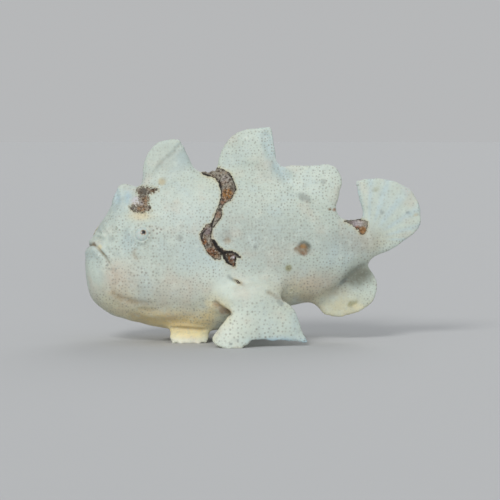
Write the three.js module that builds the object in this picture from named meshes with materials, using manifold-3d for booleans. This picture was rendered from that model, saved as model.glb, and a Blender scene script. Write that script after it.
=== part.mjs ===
// A frogfish at life size, standing on its pelvic and pectoral fins. Units are millimetres and +Z is up.
// The head points to -X, the animal's left flank faces -Y, and the floor that the fins stand on is z = 0.
import * as THREE from "three";
import { mergeVertices } from "three/addons/utils/BufferGeometryUtils.js";
import Module from "manifold-3d";

const wasm = await Module();
wasm.setup();

// Driving sizes
const GAP = 0.3; // clearance between parts that touch
const REACH = 60; // a length that passes everything the model is cut with
const BODY_RINGS_PER_SPAN = 2;
const BODY_SIDES = 32;

// The body from the lips to the root of the tail fin. Each station is
// x, height of back, height of belly, height of the widest line, half width, roundness above, roundness below.
const BODY = [
  [-63.1, 28.4, 28.4, 28.4, 0.0, 2.0, 2.0],
  [-62.6, 33.4, 22.6, 28.0, 4.8, 2.0, 2.0],
  [-61.2, 37.2, 16.8, 27.0, 8.4, 2.0, 2.1],
  [-58.3, 42.3, 13.3, 26.0, 11.0, 2.0, 2.2],
  [-53.8, 49.2, 10.1, 26.0, 13.0, 2.0, 2.3],
  [-48.5, 54.2, 8.3, 26.0, 14.5, 2.0, 2.3],
  [-41.4, 58.4, 6.6, 26.5, 16.0, 1.9, 2.3],
  [-33.0, 61.4, 4.8, 26.5, 17.3, 1.8, 2.3],
  [-22.0, 62.9, 3.4, 26.5, 18.5, 1.7, 2.3],
  [-10.7, 62.6, 4.7, 27.0, 18.8, 1.6, 2.3],
  [0.0, 61.0, 8.5, 28.5, 18.0, 1.6, 2.2],
  [10.0, 59.4, 12.3, 30.5, 15.9, 1.6, 2.1],
  [20.0, 56.0, 14.2, 32.5, 12.6, 1.6, 2.0],
  [28.4, 50.2, 17.8, 34.3, 9.2, 1.7, 1.9],
  [33.6, 45.9, 21.6, 35.0, 7.2, 1.8, 1.9],
  [37.4, 45.2, 25.2, 35.7, 5.9, 1.8, 1.9],
  [42.2, 45.6, 28.7, 37.0, 4.4, 1.9, 1.9],
  [47.0, 44.0, 31.8, 38.0, 2.8, 2.0, 2.0],
];

// Swellings and hollows of both flanks: place in side view, reach along x and z, and how far they stand out.
const SWELLINGS = [
  { x: -41.2, z: 41.0, alongX: 6.0, alongZ: 5.5, out: 1.3 }, // brow and eye mound
  { x: -38.0, z: 24.0, alongX: 9.0, alongZ: 9.0, out: 1.2 }, // cheek
  { x: -49.5, z: 35.5, alongX: 4.5, alongZ: 5.0, out: -0.9 }, // hollow before the cheek
  { x: -20.0, z: 44.0, alongX: 9.0, alongZ: 9.0, out: 0.7 }, // gill cover
  { x: -26.0, z: 12.0, alongX: 12.0, alongZ: 4.5, out: -0.8 }, // fold above the throat
];

// Cuts that part the body, in side view, from the back to the belly
const NECK_CUT = [
  [-17.0, 70.0],
  [-16.2, 56.0],
  [-18.4, 45.0],
  [-18.6, 36.0],
  [-15.0, 26.0],
  [-13.4, 14.0],
  [-13.0, -4.0],
];
const TAIL_CUT = [
  [30.6, 60.0],
  [32.0, 48.6],
  [35.2, 34.0],
  [38.6, 16.0],
];

// The mouth in side view, from the front down to its corner, and the fold of the lower jaw behind it
const MOUTH_LINE = [
  [-60.6, 36.6],
  [-59.9, 36.1],
  [-58.5, 35.1],
  [-56.1, 33.2],
  [-53.3, 29.9],
];
const JAW_FOLD = [
  [-51.4, 25.6],
  [-50.4, 20.5],
  [-50.7, 15.5],
  [-52.4, 10.8],
  [-54.6, 4.0],
];
const MOUTH_OPENING = 0.7;
const LIP_RADIUS = 1.25;

const EYE = { x: -41.2, z: 41.0, radius: 2.9, sunk: 1.5, lidRadius: 2.75, lidThickness: 0.85 };
const NOSTRILS = [
  { x: -56.6, z: 40.6, radius: 0.75, wall: 0.45 },
  { x: -50.9, z: 42.6, radius: 0.65, wall: 0.4 },
];
const GILL_PORE = { x: 13.6, z: 19.6, radius: 0.9, wall: 0.6 };
const PORE_DEPTH = 1.6;

// The fins of the middle plane. root and edge run from the front of the fin to its back, as x and z;
// thick is the thickness at the root and at the edge, and ridge is how far each ray stands out on each side.
const MIDDLE_FINS = {
  second_dorsal_spine: {
    root: [[-54.6, 45.0], [-43.8, 52.0]],
    edge: [[-54.9, 48.3], [-53.3, 52.8], [-51.4, 57.0], [-49.2, 58.6], [-46.7, 58.5], [-44.6, 57.2], [-43.6, 55.6]],
    thick: [5.2, 2.6],
    rays: 0,
  },
  third_dorsal_spine: {
    root: [[-43.0, 52.0], [-18.4, 57.0]],
    edge: [[-42.0, 58.0], [-41.8, 63.6], [-39.7, 69.8], [-36.1, 74.0], [-32.1, 75.2], [-27.8, 75.1], [-24.9, 70.1],
      [-21.9, 65.4], [-18.2, 62.9]],
    thick: [8.4, 3.0],
    rays: 0,
  },
  dorsal_fin_front: {
    root: [[-13.6, 58.0], [11.4, 55.0]],
    edge: [[-14.6, 64.3], [-13.2, 67.9], [-10.9, 73.3], [-7.7, 77.0], [-3.6, 79.0], [0.8, 79.7], [4.0, 79.9], [6.5, 79.9],
      [7.6, 74.1], [9.0, 69.0], [11.7, 66.1]],
    thick: [5.6, 1.3],
    rays: 6,
    ridge: 0.28,
  },
  dorsal_fin_rear: {
    root: [[12.2, 54.6], [21.5, 51.0], [31.6, 44.2]],
    edge: [[12.2, 66.3], [17.4, 65.7], [23.1, 65.8], [27.6, 66.1], [31.1, 64.8], [33.2, 60.3], [32.6, 55.0], [31.6, 50.6],
      [32.0, 47.6]],
    thick: [4.2, 1.2],
    rays: 7,
    ridge: 0.28,
  },
  anal_fin: {
    root: [[20.0, 20.0], [27.0, 22.0], [34.0, 28.0], [40.2, 34.2]],
    edge: [[19.4, 14.2], [23.4, 12.4], [26.4, 9.9], [30.2, 8.8], [34.7, 9.1], [39.4, 10.7], [43.3, 13.0], [46.0, 16.8],
      [46.5, 21.4], [45.4, 25.6], [43.2, 28.8]],
    thick: [3.2, 1.1],
    rays: 7,
    ridge: 0.28,
  },
  caudal_fin: {
    root: [[41.2, 43.6], [42.6, 37.2], [41.2, 30.6]],
    edge: [[37.9, 60.3], [42.0, 60.7], [46.7, 61.0], [51.6, 60.3], [56.0, 58.5], [59.8, 55.7], [62.1, 51.0], [62.9, 46.4],
      [62.0, 42.3], [59.3, 39.5], [55.7, 36.8], [52.0, 33.6], [47.0, 30.8]],
    thick: [4.4, 1.1],
    rays: 9,
    ridge: 0.3,
  },
};
// The front of the soft dorsal fin leans, and its last ray stands in a shallow fold.
const DORSAL_WAVE = 0.9;

// The left arm: a lobe along the flank whose lower side carries the hand
const ARM = {
  path: [[-12.4, -14.6, 18.2], [-9.0, -17.6, 17.4], [-3.6, -19.0, 17.6], [2.4, -18.2, 19.2], [7.6, -15.2, 21.4],
    [11.4, -11.4, 22.6]],
  radius: [3.6, 5.0, 5.2, 4.8, 4.2, 3.4],
};
// The left hand: a fan of ten rays from the wrist down to the floor
const HAND = {
  root: [[-8.6, -18.4, 16.4], [-2.0, -18.8, 17.4], [5.8, -17.2, 19.8]],
  edge: [[-14.8, -23.6, 5.6], [-12.5, -26.6, 1.1], [-9.0, -27.8, -0.5], [-4.8, -27.4, -0.5], [-1.6, -26.0, 1.2],
    [1.6, -24.4, 2.8], [5.2, -22.8, 2.6], [9.4, -21.2, 2.2], [14.2, -19.6, 1.6], [19.6, -18.2, 1.1], [17.4, -18.0, 6.6],
    [15.4, -17.6, 12.4], [11.2, -16.8, 17.2]],
  thick: [3.6, 1.2],
  rays: 10,
  ridge: 0.3,
};
// The left pelvic fin: a short flared foot of five rays under the throat
const PELVIC = {
  root: [[-29.2, -4.8, 8.4], [-24.2, -5.2, 8.0], [-19.2, -4.8, 8.4]],
  edge: [[-31.0, -8.0, 2.8], [-30.6, -9.8, 0.3], [-27.6, -10.8, -0.5], [-23.8, -11.1, -0.5], [-20.0, -10.6, -0.4],
    [-16.7, -9.6, 0.2], [-16.4, -7.8, 2.8]],
  thick: [3.4, 1.2],
  rays: 5,
  ridge: 0.3,
};

// The fishing rod lies folded back beside the second spine, on the right of the forehead.
const ROD = { radius: 0.5, tipRadius: 0.32, stations: [2.35, 3.0, 3.7, 4.4, 5.0], turns: [0.06, 0.36, 0.55, 0.62, 0.62] };
const BAIT = { radius: 0.95, length: 2.6, threads: 5, threadLength: 2.2, threadRadius: 0.3 };

const COLOURS = {
  skin: 0xcfd8cd,
  fin: 0xd2dbd0,
  throat: 0xd9d6b4,
  eye: 0xdfe4df,
  lure: 0xc9c4ae,
};
const SKIN_ROUGHNESS = 0.62;

// Curves
// A smooth curve through rows of numbers, at t from 0 to the number of rows less one.
function through(rows, t) {
  const i = Math.min(Math.max(Math.floor(t), 0), rows.length - 2);
  const f = t - i;
  const row = (k) => rows[Math.min(Math.max(k, 0), rows.length - 1)];
  return rows[0].map((_, c) => {
    const [a, b, d, e] = [row(i - 1)[c], row(i)[c], row(i + 1)[c], row(i + 2)[c]];
    return b + 0.5 * f * (d - a + f * (2 * a - 5 * b + 4 * d - e + f * (3 * (b - d) + e - a)));
  });
}

// The same curve with t from 0 at its start to 1 at its end
const along = (rows, t) => through(rows, t * (rows.length - 1));

// Body surface
// A point of the body at a station and a turn from the back, 0, by the left flank, to the belly, pi; swell grows it.
function bodyPoint(station, turn, swell = 0) {
  const [x, back, belly, widest, half, above, below] = through(BODY, station);
  const up = Math.cos(turn);
  const rounded = (value, power) => Math.sign(value) * Math.abs(value) ** (2 / power);
  const power = up > 0 ? above : below;
  const z = widest + (up > 0 ? back - widest : widest - belly) * rounded(up, power);
  let y = half * rounded(Math.sin(turn), power);
  const side = Math.min(1, Math.abs(y) / 4);
  for (const s of SWELLINGS) {
    const away = ((x - s.x) / s.alongX) ** 2 + ((z - s.z) / s.alongZ) ** 2;
    y += Math.sign(y) * side * s.out * Math.exp(-away);
  }
  const centre = new THREE.Vector3(x, 0, widest);
  const point = new THREE.Vector3(x, -y, z);
  const outward = point.clone().sub(centre);
  if (swell && outward.length() > 0) point.add(outward.setLength(swell * 1.15));
  return point;
}

// The station whose section stands at x
function stationAt(x) {
  let [low, high] = [0, BODY.length - 1];
  for (let step = 0; step < 40; step++) {
    const middle = (low + high) / 2;
    if (through(BODY, middle)[0] < x) low = middle;
    else high = middle;
  }
  return low;
}

// The point of the left flank at a place in side view
function flankPoint(x, z) {
  const station = stationAt(x);
  let [low, high] = [0.01, Math.PI - 0.01];
  for (let step = 0; step < 40; step++) {
    const middle = (low + high) / 2;
    if (bodyPoint(station, middle).z > z) low = middle;
    else high = middle;
  }
  return bodyPoint(station, low);
}

// The outward direction of the left flank at a place in side view
function flankNormal(x, z) {
  const step = 1.2;
  const alongX = flankPoint(x + step, z).sub(flankPoint(x - step, z));
  const alongZ = flankPoint(x, z + step).sub(flankPoint(x, z - step));
  return alongX.cross(alongZ).normalize();
}

// Closed surfaces
function surface(points, index) {
  return new THREE.BufferGeometry().setFromPoints(points).setIndex(index);
}

// A closed skin over rings of points, each end drawn together to one point
function loft(rings, start, end) {
  const sides = rings[0].length;
  const points = [start, ...rings.flat(), end];
  const last = points.length - 1;
  const at = (i, j) => 1 + i * sides + (j % sides);
  const index = [];
  for (let j = 0; j < sides; j++) {
    index.push(0, at(0, j + 1), at(0, j), last, at(rings.length - 1, j), at(rings.length - 1, j + 1));
    for (let i = 0; i < rings.length - 1; i++) {
      index.push(at(i, j), at(i, j + 1), at(i + 1, j), at(i, j + 1), at(i + 1, j + 1), at(i + 1, j));
    }
  }
  return surface(points, index);
}

// A round limb along a path of points whose radius changes, with round ends
function limb(path, radii, sides, rings) {
  const ringAt = (t) => {
    const centre = new THREE.Vector3(...along(path, t));
    const ahead = new THREE.Vector3(...along(path, Math.min(1, t + 0.02)));
    const behind = new THREE.Vector3(...along(path, Math.max(0, t - 0.02)));
    const forward = ahead.sub(behind).normalize();
    const side = new THREE.Vector3(0, 0, 1).cross(forward).normalize();
    const up = forward.clone().cross(side);
    const radius = along(radii.map((r) => [r]), t)[0] * Math.sqrt(1 - Math.abs(2 * t - 1) ** 6);
    return Array.from({ length: sides }, (_, j) => {
      const angle = (2 * Math.PI * j) / sides;
      return centre.clone().addScaledVector(side, radius * Math.cos(angle)).addScaledVector(up, radius * Math.sin(angle));
    });
  };
  const inner = Array.from({ length: rings }, (_, i) => ringAt(0.5 - 0.5 * Math.cos((Math.PI * (i + 1)) / (rings + 1))));
  return loft(inner, new THREE.Vector3(...path[0]), new THREE.Vector3(...path.at(-1)));
}

// A fin: rays run straight from a point of the root to the same share of the edge. Its two faces are cut into
// triangles alike. wave(u, v) bends it sideways; a fin without rays is a plump lobe.
function fin({ root, edge, thick, rays, ridge = 0 }, rows, wave = () => 0, columnsOfLobe = 14) {
  const columns = rays ? rays * 2 : columnsOfLobe;
  const flat = (p) => (p.length === 2 ? new THREE.Vector3(p[0], 0, p[1]) : new THREE.Vector3(...p));
  const middle = (u, v) => flat(along(root, v)).lerp(flat(along(edge, v)), u);
  const aside = (u, v) => {
    const e = 0.02;
    const down = middle(Math.min(1, u + e), v).sub(middle(Math.max(0, u - e), v));
    const across = middle(u, Math.min(1, v + e)).sub(middle(u, Math.max(0, v - e)));
    return down.cross(across).normalize();
  };
  const halfThickness = (u, v, j) => {
    const plain = THREE.MathUtils.lerp(thick[0], thick[1], u ** 0.7) / 2;
    const round = rays ? Math.min(1, 0.5 + 6 * Math.min(v, 1 - v)) : Math.max(0.3, Math.sqrt(1 - (2 * v - 1) ** 2));
    const raised = rays && j % 2 ? ridge * (1 - 0.5 * u) : 0;
    return Math.max(0.3, plain * round) + raised;
  };
  const points = [];
  for (const face of [1, -1]) {
    for (let i = 0; i <= rows; i++) {
      for (let j = 0; j <= columns; j++) {
        const [u, v] = [i / rows, j / columns];
        const point = middle(u, v).addScaledVector(aside(u, v), face * halfThickness(u, v, j) + wave(u, v));
        points.push(point);
      }
    }
  }
  const width = columns + 1;
  const other = width * (rows + 1);
  const index = [];
  for (let i = 0; i < rows; i++) {
    for (let j = 0; j < columns; j++) {
      const [a, b, c, d] = [i * width + j, i * width + j + 1, (i + 1) * width + j, (i + 1) * width + j + 1];
      index.push(a, c, b, b, c, d);
      index.push(a + other, b + other, c + other, b + other, d + other, c + other);
    }
  }
  const rim = [];
  for (let j = 0; j < columns; j++) rim.push(j);
  for (let i = 0; i < rows; i++) rim.push(i * width + columns);
  for (let j = columns; j > 0; j--) rim.push(rows * width + j);
  for (let i = rows; i > 0; i--) rim.push(i * width);
  rim.forEach((a, k) => {
    const b = rim[(k + 1) % rim.length];
    index.push(a, b, a + other, b, b + other, a + other);
  });
  return surface(points, index);
}

// A thin wall that follows a line in side view and passes the whole body from side to side
function wall(line, widths) {
  const points = line.map(([x, z]) => new THREE.Vector2(x, z));
  const sideOf = (i) => {
    const before = points[Math.max(0, i - 1)];
    const after = points[Math.min(points.length - 1, i + 1)];
    const d = after.clone().sub(before).normalize();
    return new THREE.Vector2(-d.y, d.x).multiplyScalar(widths[i] / 2);
  };
  const one = points.map((p, i) => p.clone().add(sideOf(i)));
  const two = points.map((p, i) => p.clone().sub(sideOf(i))).reverse();
  const shape = new THREE.Shape([...one, ...two]);
  const geometry = new THREE.ExtrudeGeometry(shape, { depth: REACH, bevelEnabled: false });
  return geometry.translate(0, 0, -REACH / 2).rotateX(Math.PI / 2);
}

// Turns a geometry that stands on +Z to stand on a direction at a place
function stoodOn(geometry, place, direction) {
  const turn = new THREE.Quaternion().setFromUnitVectors(new THREE.Vector3(0, 0, 1), direction);
  return geometry.applyQuaternion(turn).translate(place.x, place.y, place.z);
}

// The same geometry on the right side of the animal
function mirrored(geometry) {
  const copy = geometry.index ? geometry.clone() : mergeVertices(geometry);
  copy.scale(1, -1, 1);
  const index = copy.index.array;
  for (let i = 0; i < index.length; i += 3) [index[i], index[i + 1]] = [index[i + 1], index[i]];
  return copy;
}

// Solids: joins and cuts
function solidOf(geometry) {
  const bare = geometry.clone();
  bare.deleteAttribute("normal");
  bare.deleteAttribute("uv");
  const merged = mergeVertices(bare, 1e-4);
  const corners = [...merged.index.array];
  const kept = [];
  for (let i = 0; i < corners.length; i += 3) {
    const [a, b, c] = corners.slice(i, i + 3);
    if (a !== b && b !== c && c !== a) kept.push(a, b, c);
  }
  const vertProperties = merged.attributes.position.array;
  return new wasm.Manifold(new wasm.Mesh({ numProp: 3, vertProperties, triVerts: new Uint32Array(kept) }));
}

const joined = (solids) => solids.reduce((whole, next) => whole.add(next));
const largest = (solid) => solid.decompose().reduce((best, next) => (next.volume() > best.volume() ? next : best));

// Sides of a cut, from the part nearest -X to the part nearest +X
function pieces(solid) {
  const middleX = (part) => {
    const box = part.boundingBox();
    return (box.min[0] + box.max[0]) / 2;
  };
  const big = solid.decompose().filter((part) => part.volume() > 1);
  return big.sort((a, b) => middleX(a) - middleX(b));
}

// Body, parted into jaw, head, trunk and tail stalk
function bodySolid(swell) {
  const spans = (BODY.length - 1) * BODY_RINGS_PER_SPAN;
  const firstStation = 0.3;
  const rings = Array.from({ length: spans }, (_, i) => {
    const station = i ? i / BODY_RINGS_PER_SPAN : firstStation;
    return Array.from({ length: BODY_SIDES }, (_, j) => bodyPoint(station, (2 * Math.PI * j) / BODY_SIDES, swell));
  });
  const start = new THREE.Vector3(BODY[0][0] - swell, 0, BODY[0][1]);
  const [x, , , widest] = BODY.at(-1);
  return solidOf(loft(rings, start, new THREE.Vector3(x + swell, 0, widest)));
}

const bothSides = (geometry) => [solidOf(geometry), solidOf(mirrored(geometry))];

function lipGeometry() {
  const half = MOUTH_LINE.map(([x, z], i) => {
    if (i === 0) return new THREE.Vector3(x, 0, z);
    return flankPoint(x, z);
  });
  const right = half.slice(1).map((p) => p.clone().setY(-p.y));
  const path = new THREE.CatmullRomCurve3([...half.slice(1).reverse(), half[0], ...right]);
  const section = new THREE.Shape().absarc(0, 0, LIP_RADIUS, 0, 2 * Math.PI);
  return new THREE.ExtrudeGeometry(section, { steps: 26, curveSegments: 5, extrudePath: path });
}

function eyePlace() {
  const onFlank = flankPoint(EYE.x, EYE.z);
  const direction = flankNormal(EYE.x, EYE.z);
  return { onFlank, direction, centre: onFlank.clone().addScaledVector(direction, -EYE.sunk) };
}

// Meshes
function meshOf(name, solid, colour, roughness = SKIN_ROUGHNESS) {
  const { numProp, numVert, vertProperties, triVerts } = solid.getMesh();
  const position = new Float32Array(numVert * 3);
  for (let i = 0; i < numVert; i++) position.set(vertProperties.subarray(i * numProp, i * numProp + 3), i * 3);
  const geometry = new THREE.BufferGeometry().setAttribute("position", new THREE.BufferAttribute(position, 3));
  geometry.setIndex(new THREE.BufferAttribute(triVerts, 1));
  geometry.computeVertexNormals();
  const material = new THREE.MeshStandardMaterial({ color: colour, roughness, metalness: 0 });
  const mesh = new THREE.Mesh(geometry, material);
  mesh.name = name;
  return mesh;
}

const animal = new THREE.Group();
const headGroup = new THREE.Group();
const trunkGroup = new THREE.Group();
const limbGroup = new THREE.Group();
animal.add(headGroup, trunkGroup, limbGroup);

const floorCut = solidOf(new THREE.BoxGeometry(4 * REACH, 4 * REACH, REACH).translate(0, 0, -REACH / 2));
const body = bodySolid(0);
const clearOfBody = bodySolid(GAP);

// Eyes, lids, nostrils and gill pores on both flanks
const { onFlank: lidPlace, direction: gaze, centre: eyeCentre } = eyePlace();
const socket = new THREE.SphereGeometry(EYE.radius + GAP, 20, 14).translate(eyeCentre.x, eyeCentre.y, eyeCentre.z);
const lid = new THREE.TorusGeometry(EYE.lidRadius, EYE.lidThickness, 8, 24);
stoodOn(lid, lidPlace, gaze);
const bothEyes = (geometry) => joined(bothSides(geometry));

// The raised rims of some pores and the holes in them, on both flanks
function poreSolids(pores) {
  const rings = [];
  const holes = [];
  for (const pore of pores) {
    const place = flankPoint(pore.x, pore.z);
    const direction = flankNormal(pore.x, pore.z);
    const ring = new THREE.TorusGeometry(pore.radius, pore.wall, 6, 14);
    const hole = new THREE.CylinderGeometry(pore.radius * 0.75, pore.radius * 0.5, 2 * PORE_DEPTH, 10);
    rings.push(...bothSides(stoodOn(ring, place, direction)));
    holes.push(...bothSides(stoodOn(hole.rotateX(Math.PI / 2), place, direction)));
  }
  return { rings: joined(rings), holes: joined(holes) };
}

const nostrils = poreSolids(NOSTRILS);
const gills = poreSolids([GILL_PORE]);
const neckWall = solidOf(wall(NECK_CUT, NECK_CUT.map(() => GAP)));
const tailWall = solidOf(wall(TAIL_CUT, TAIL_CUT.map(() => GAP)));
const mouthWidths = [...MOUTH_LINE.map(() => MOUTH_OPENING), ...JAW_FOLD.map(() => GAP)];
const beforeLips = [MOUTH_LINE[0][0] - 6, MOUTH_LINE[0][1] + 1];
const mouthWall = solidOf(wall([beforeLips, ...MOUTH_LINE, ...JAW_FOLD], [MOUTH_OPENING, ...mouthWidths]));

const dressed = joined([body, solidOf(lipGeometry()), bothEyes(lid), nostrils.rings, gills.rings])
  .subtract(bothEyes(socket))
  .subtract(nostrils.holes)
  .subtract(gills.holes);
const [jaw, skull, trunk, stalk] = pieces(dressed.subtract(joined([neckWall, tailWall, mouthWall])));
headGroup.add(meshOf("lower_jaw", jaw, COLOURS.skin), meshOf("head", skull, COLOURS.skin));
trunkGroup.add(meshOf("torso", trunk, COLOURS.skin), meshOf("tail_stalk", stalk, COLOURS.skin));

for (const side of ["left", "right"]) {
  const eye = meshOf("eye_" + side, solidOf(new THREE.SphereGeometry(EYE.radius, 20, 14)), COLOURS.eye, 0.2);
  eye.position.set(eyeCentre.x, side === "left" ? eyeCentre.y : -eyeCentre.y, eyeCentre.z);
  headGroup.add(eye);
}

// Fins of the middle plane
const wavy = (amount) => (u, v) => amount * u * Math.sin(2 * Math.PI * v);
const waves = { dorsal_fin_front: wavy(DORSAL_WAVE), dorsal_fin_rear: wavy(-DORSAL_WAVE / 2) };
for (const [name, sizes] of Object.entries(MIDDLE_FINS)) {
  const rows = name.endsWith("spine") ? 7 : 6;
  const whole = solidOf(fin(sizes, rows, waves[name]));
  trunkGroup.add(meshOf(name, largest(whole.subtract(clearOfBody)), COLOURS.fin));
}

// Arms, hands and pelvic fins
const armGeometry = limb(ARM.path, ARM.radius, 14, 9);
const armClearRadii = ARM.radius.map((r) => r + GAP * 1.2);
const armClear = limb(ARM.path, armClearRadii, 14, 9);
const handGeometry = fin(HAND, 7);
const pelvicGeometry = fin(PELVIC, 5);
for (const side of ["left", "right"]) {
  const onSide = (geometry) => solidOf(side === "left" ? geometry : mirrored(geometry));
  const arm = largest(onSide(armGeometry).subtract(clearOfBody).subtract(gills.rings));
  const hand = largest(onSide(handGeometry).subtract(joined([onSide(armClear), clearOfBody, floorCut])));
  const pelvic = largest(onSide(pelvicGeometry).subtract(joined([clearOfBody, floorCut])));
  limbGroup.add(meshOf("arm_" + side, arm, COLOURS.skin));
  limbGroup.add(meshOf("hand_fin_" + side, hand, COLOURS.fin));
  limbGroup.add(meshOf("pelvic_fin_" + side, pelvic, COLOURS.throat));
}

// The fishing rod and its bait
function lureSolid() {
  const onForehead = (station, turn, lift) => {
    const point = bodyPoint(station, -turn, 0);
    const above = bodyPoint(station, -turn, 1).sub(point).normalize();
    return point.addScaledVector(above, lift);
  };
  const lifts = ROD.stations.map((_, i) => (i ? GAP + ROD.radius + 0.25 : -0.8));
  const path = ROD.stations.map((station, i) => onForehead(station, ROD.turns[i], lifts[i]).toArray());
  const radii = path.map((_, i) => THREE.MathUtils.lerp(ROD.radius, ROD.tipRadius, i / (path.length - 1)));
  const end = new THREE.Vector3(...path.at(-1));
  const forward = end.clone().sub(new THREE.Vector3(...path.at(-2))).normalize();
  const beyond = (distance) => end.clone().addScaledVector(forward, distance).toArray();
  const bait = limb([beyond(-0.8), beyond(0.5), beyond(BAIT.length - 0.8)], [0.6, BAIT.radius, 0.6], 8, 5);
  const threads = Array.from({ length: BAIT.threads }, (_, k) => {
    const angle = (2 * Math.PI * k) / BAIT.threads;
    const spread = new THREE.Vector3(0, Math.cos(angle), Math.sin(angle)).multiplyScalar(0.55 + 0.15 * (k % 2));
    const at = (distance, out) => new THREE.Vector3(...beyond(distance)).addScaledVector(spread, out).toArray();
    const steps = [at(0.3, 0), at(BAIT.length * 0.6, 0.9), at(BAIT.length * 0.6 + BAIT.threadLength, 1.7)];
    return solidOf(limb(steps, [BAIT.threadRadius, BAIT.threadRadius, BAIT.threadRadius * 0.6], 6, 4));
  });
  return joined([solidOf(limb(path, radii, 8, 12)), solidOf(bait), ...threads]);
}
const lure = largest(lureSolid().subtract(clearOfBody));
headGroup.add(meshOf("fishing_rod", lure, COLOURS.lure));

export default animal;
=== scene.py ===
"""The looks of a frogfish at life size, standing on its fins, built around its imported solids."""

import logging
import math
from collections.abc import Iterable
from dataclasses import dataclass, field
from enum import Enum

import bmesh
import bpy
import numpy as np
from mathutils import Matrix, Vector, noise
from mathutils.bvhtree import BVHTree


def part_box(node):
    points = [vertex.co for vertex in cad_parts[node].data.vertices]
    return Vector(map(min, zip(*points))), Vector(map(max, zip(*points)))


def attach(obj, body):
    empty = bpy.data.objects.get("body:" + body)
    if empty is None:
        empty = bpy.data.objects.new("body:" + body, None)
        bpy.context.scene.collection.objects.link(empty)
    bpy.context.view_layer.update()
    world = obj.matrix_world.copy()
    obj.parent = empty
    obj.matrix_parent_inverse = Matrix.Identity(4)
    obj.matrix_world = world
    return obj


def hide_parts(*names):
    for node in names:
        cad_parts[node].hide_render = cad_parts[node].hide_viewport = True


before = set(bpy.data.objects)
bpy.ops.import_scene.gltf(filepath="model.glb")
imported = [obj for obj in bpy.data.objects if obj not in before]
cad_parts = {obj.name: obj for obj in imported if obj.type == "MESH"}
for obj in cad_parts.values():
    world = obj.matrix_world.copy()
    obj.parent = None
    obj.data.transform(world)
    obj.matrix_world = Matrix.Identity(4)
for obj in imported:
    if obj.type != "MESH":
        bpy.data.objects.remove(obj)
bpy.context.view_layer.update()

MM = 0.001
BODY_NAME = "root"
log = logging.getLogger("frogfish")

SLOPE_STEP = 0.02
MARK_REACH = 4.0

Rows = tuple[tuple[float, ...], ...]
Triple = tuple[float, float, float]
Colour = Triple


class Side(Enum):
    """A flank of the animal, with the sign of its Y."""

    LEFT = -1.0
    RIGHT = 1.0


def through(rows: Rows, t: np.ndarray) -> np.ndarray:
    """Follow a smooth curve through rows of numbers, as the solids do.

    Args:
        rows: the rows that the curve passes, one after another.
        t: places on the curve, from 0 at the first row to the number of rows less one.

    Returns:
        One row of numbers for each place.
    """
    table = np.asarray(rows, float)
    t = np.clip(np.atleast_1d(np.asarray(t, float)), 0, len(table) - 1)
    first = np.clip(np.floor(t).astype(int), 0, len(table) - 2)
    f = (t - first)[:, None]
    a, b, d, e = (table[np.clip(first + k, 0, len(table) - 1)] for k in (-1, 0, 1, 2))
    return b + 0.5 * f * (d - a + f * (2 * a - 5 * b + 4 * d - e + f * (3 * (b - d) + e - a)))


def along(rows: Rows, share: np.ndarray) -> np.ndarray:
    """Follow the same curve, from 0 at its start to 1 at its end."""
    return through(rows, np.asarray(share, float) * (len(rows) - 1))


def unit(vectors: np.ndarray) -> np.ndarray:
    """Bring each row to length 1."""
    return vectors / np.maximum(np.linalg.norm(vectors, axis=-1, keepdims=True), 1e-9)


def smooth_step(low: float, high: float, values: np.ndarray) -> np.ndarray:
    """Rise smoothly from 0 at low to 1 at high."""
    t = np.clip((values - low) / (high - low), 0, 1)
    return t * t * (3 - 2 * t)


def bell(away: np.ndarray, width: float) -> np.ndarray:
    """Give 1 where away is 0, falling softly over the width on either side."""
    return np.exp(-((away / width) ** 2))


def ends(share: np.ndarray, first: float, last: float) -> np.ndarray:
    """Give 1 along a line, fading over a first and a last share of it."""
    return smooth_step(0, first, share) * smooth_step(0, last, 1 - share)


def linear(*channels: int) -> Colour:
    """Turn a colour of 0 to 255 a channel into light."""
    shares = (c / 255 for c in channels)
    return tuple(s / 12.92 if s < 0.04045 else ((s + 0.055) / 1.055) ** 2.4 for s in shares)


def blend(tone: np.ndarray, colour: Colour, amount: np.ndarray) -> None:
    """Mix a colour into the colours of points.

    Args:
        tone: one colour for each point, which is changed.
        colour: the colour that is mixed in.
        amount: its share at each point.
    """
    tone += np.clip(amount, 0, 1)[:, None] * (np.array(colour) - tone)


def line_distance(xz: np.ndarray, line: Rows) -> tuple[np.ndarray, np.ndarray, np.ndarray]:
    """Measure points against a line in side view.

    Args:
        xz: the points, as x and z.
        line: the line's points, as x and z, with any further numbers after them.

    Returns:
        The distance of each point from the line, positive on the left of its run, the share of
        the way along it, and the line's further number there, or 0.
    """
    table = np.asarray(line, float)
    best = np.full(len(xz), np.inf)
    signed, share, extra = np.zeros(len(xz)), np.zeros(len(xz)), np.zeros(len(xz))
    for k in range(len(table) - 1):
        start, run = table[k, :2], table[k + 1, :2] - table[k, :2]
        f = np.clip(((xz - start) @ run) / (run @ run), 0, 1)
        off = xz - start - f[:, None] * run
        length = np.hypot(off[:, 0], off[:, 1])
        width = table[k, 2] * (1 - f) + table[k + 1, 2] * f if table.shape[1] > 2 else 0 * f
        nearer = length - width < best
        best = np.where(nearer, length - width, best)
        turn = run[0] * off[:, 1] - run[1] * off[:, 0]
        signed = np.where(nearer, length * np.sign(turn), signed)
        share = np.where(nearer, (k + f) / (len(table) - 1), share)
        extra = np.where(nearer, width, extra)
    return signed, share, extra


# Forms

@dataclass(frozen=True)
class Oval:
    """A soft oval, placed in side view."""

    x: float
    z: float
    along_x: float
    along_z: float

    def cover(self, x: np.ndarray, z: np.ndarray) -> np.ndarray:
        """Give 1 at the middle, falling softly all round."""
        return np.exp(-(((x - self.x) / self.along_x) ** 2 + ((z - self.z) / self.along_z) ** 2))


@dataclass(frozen=True)
class Swelling(Oval):
    """A soft rise or hollow of both flanks."""

    out: float


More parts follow.
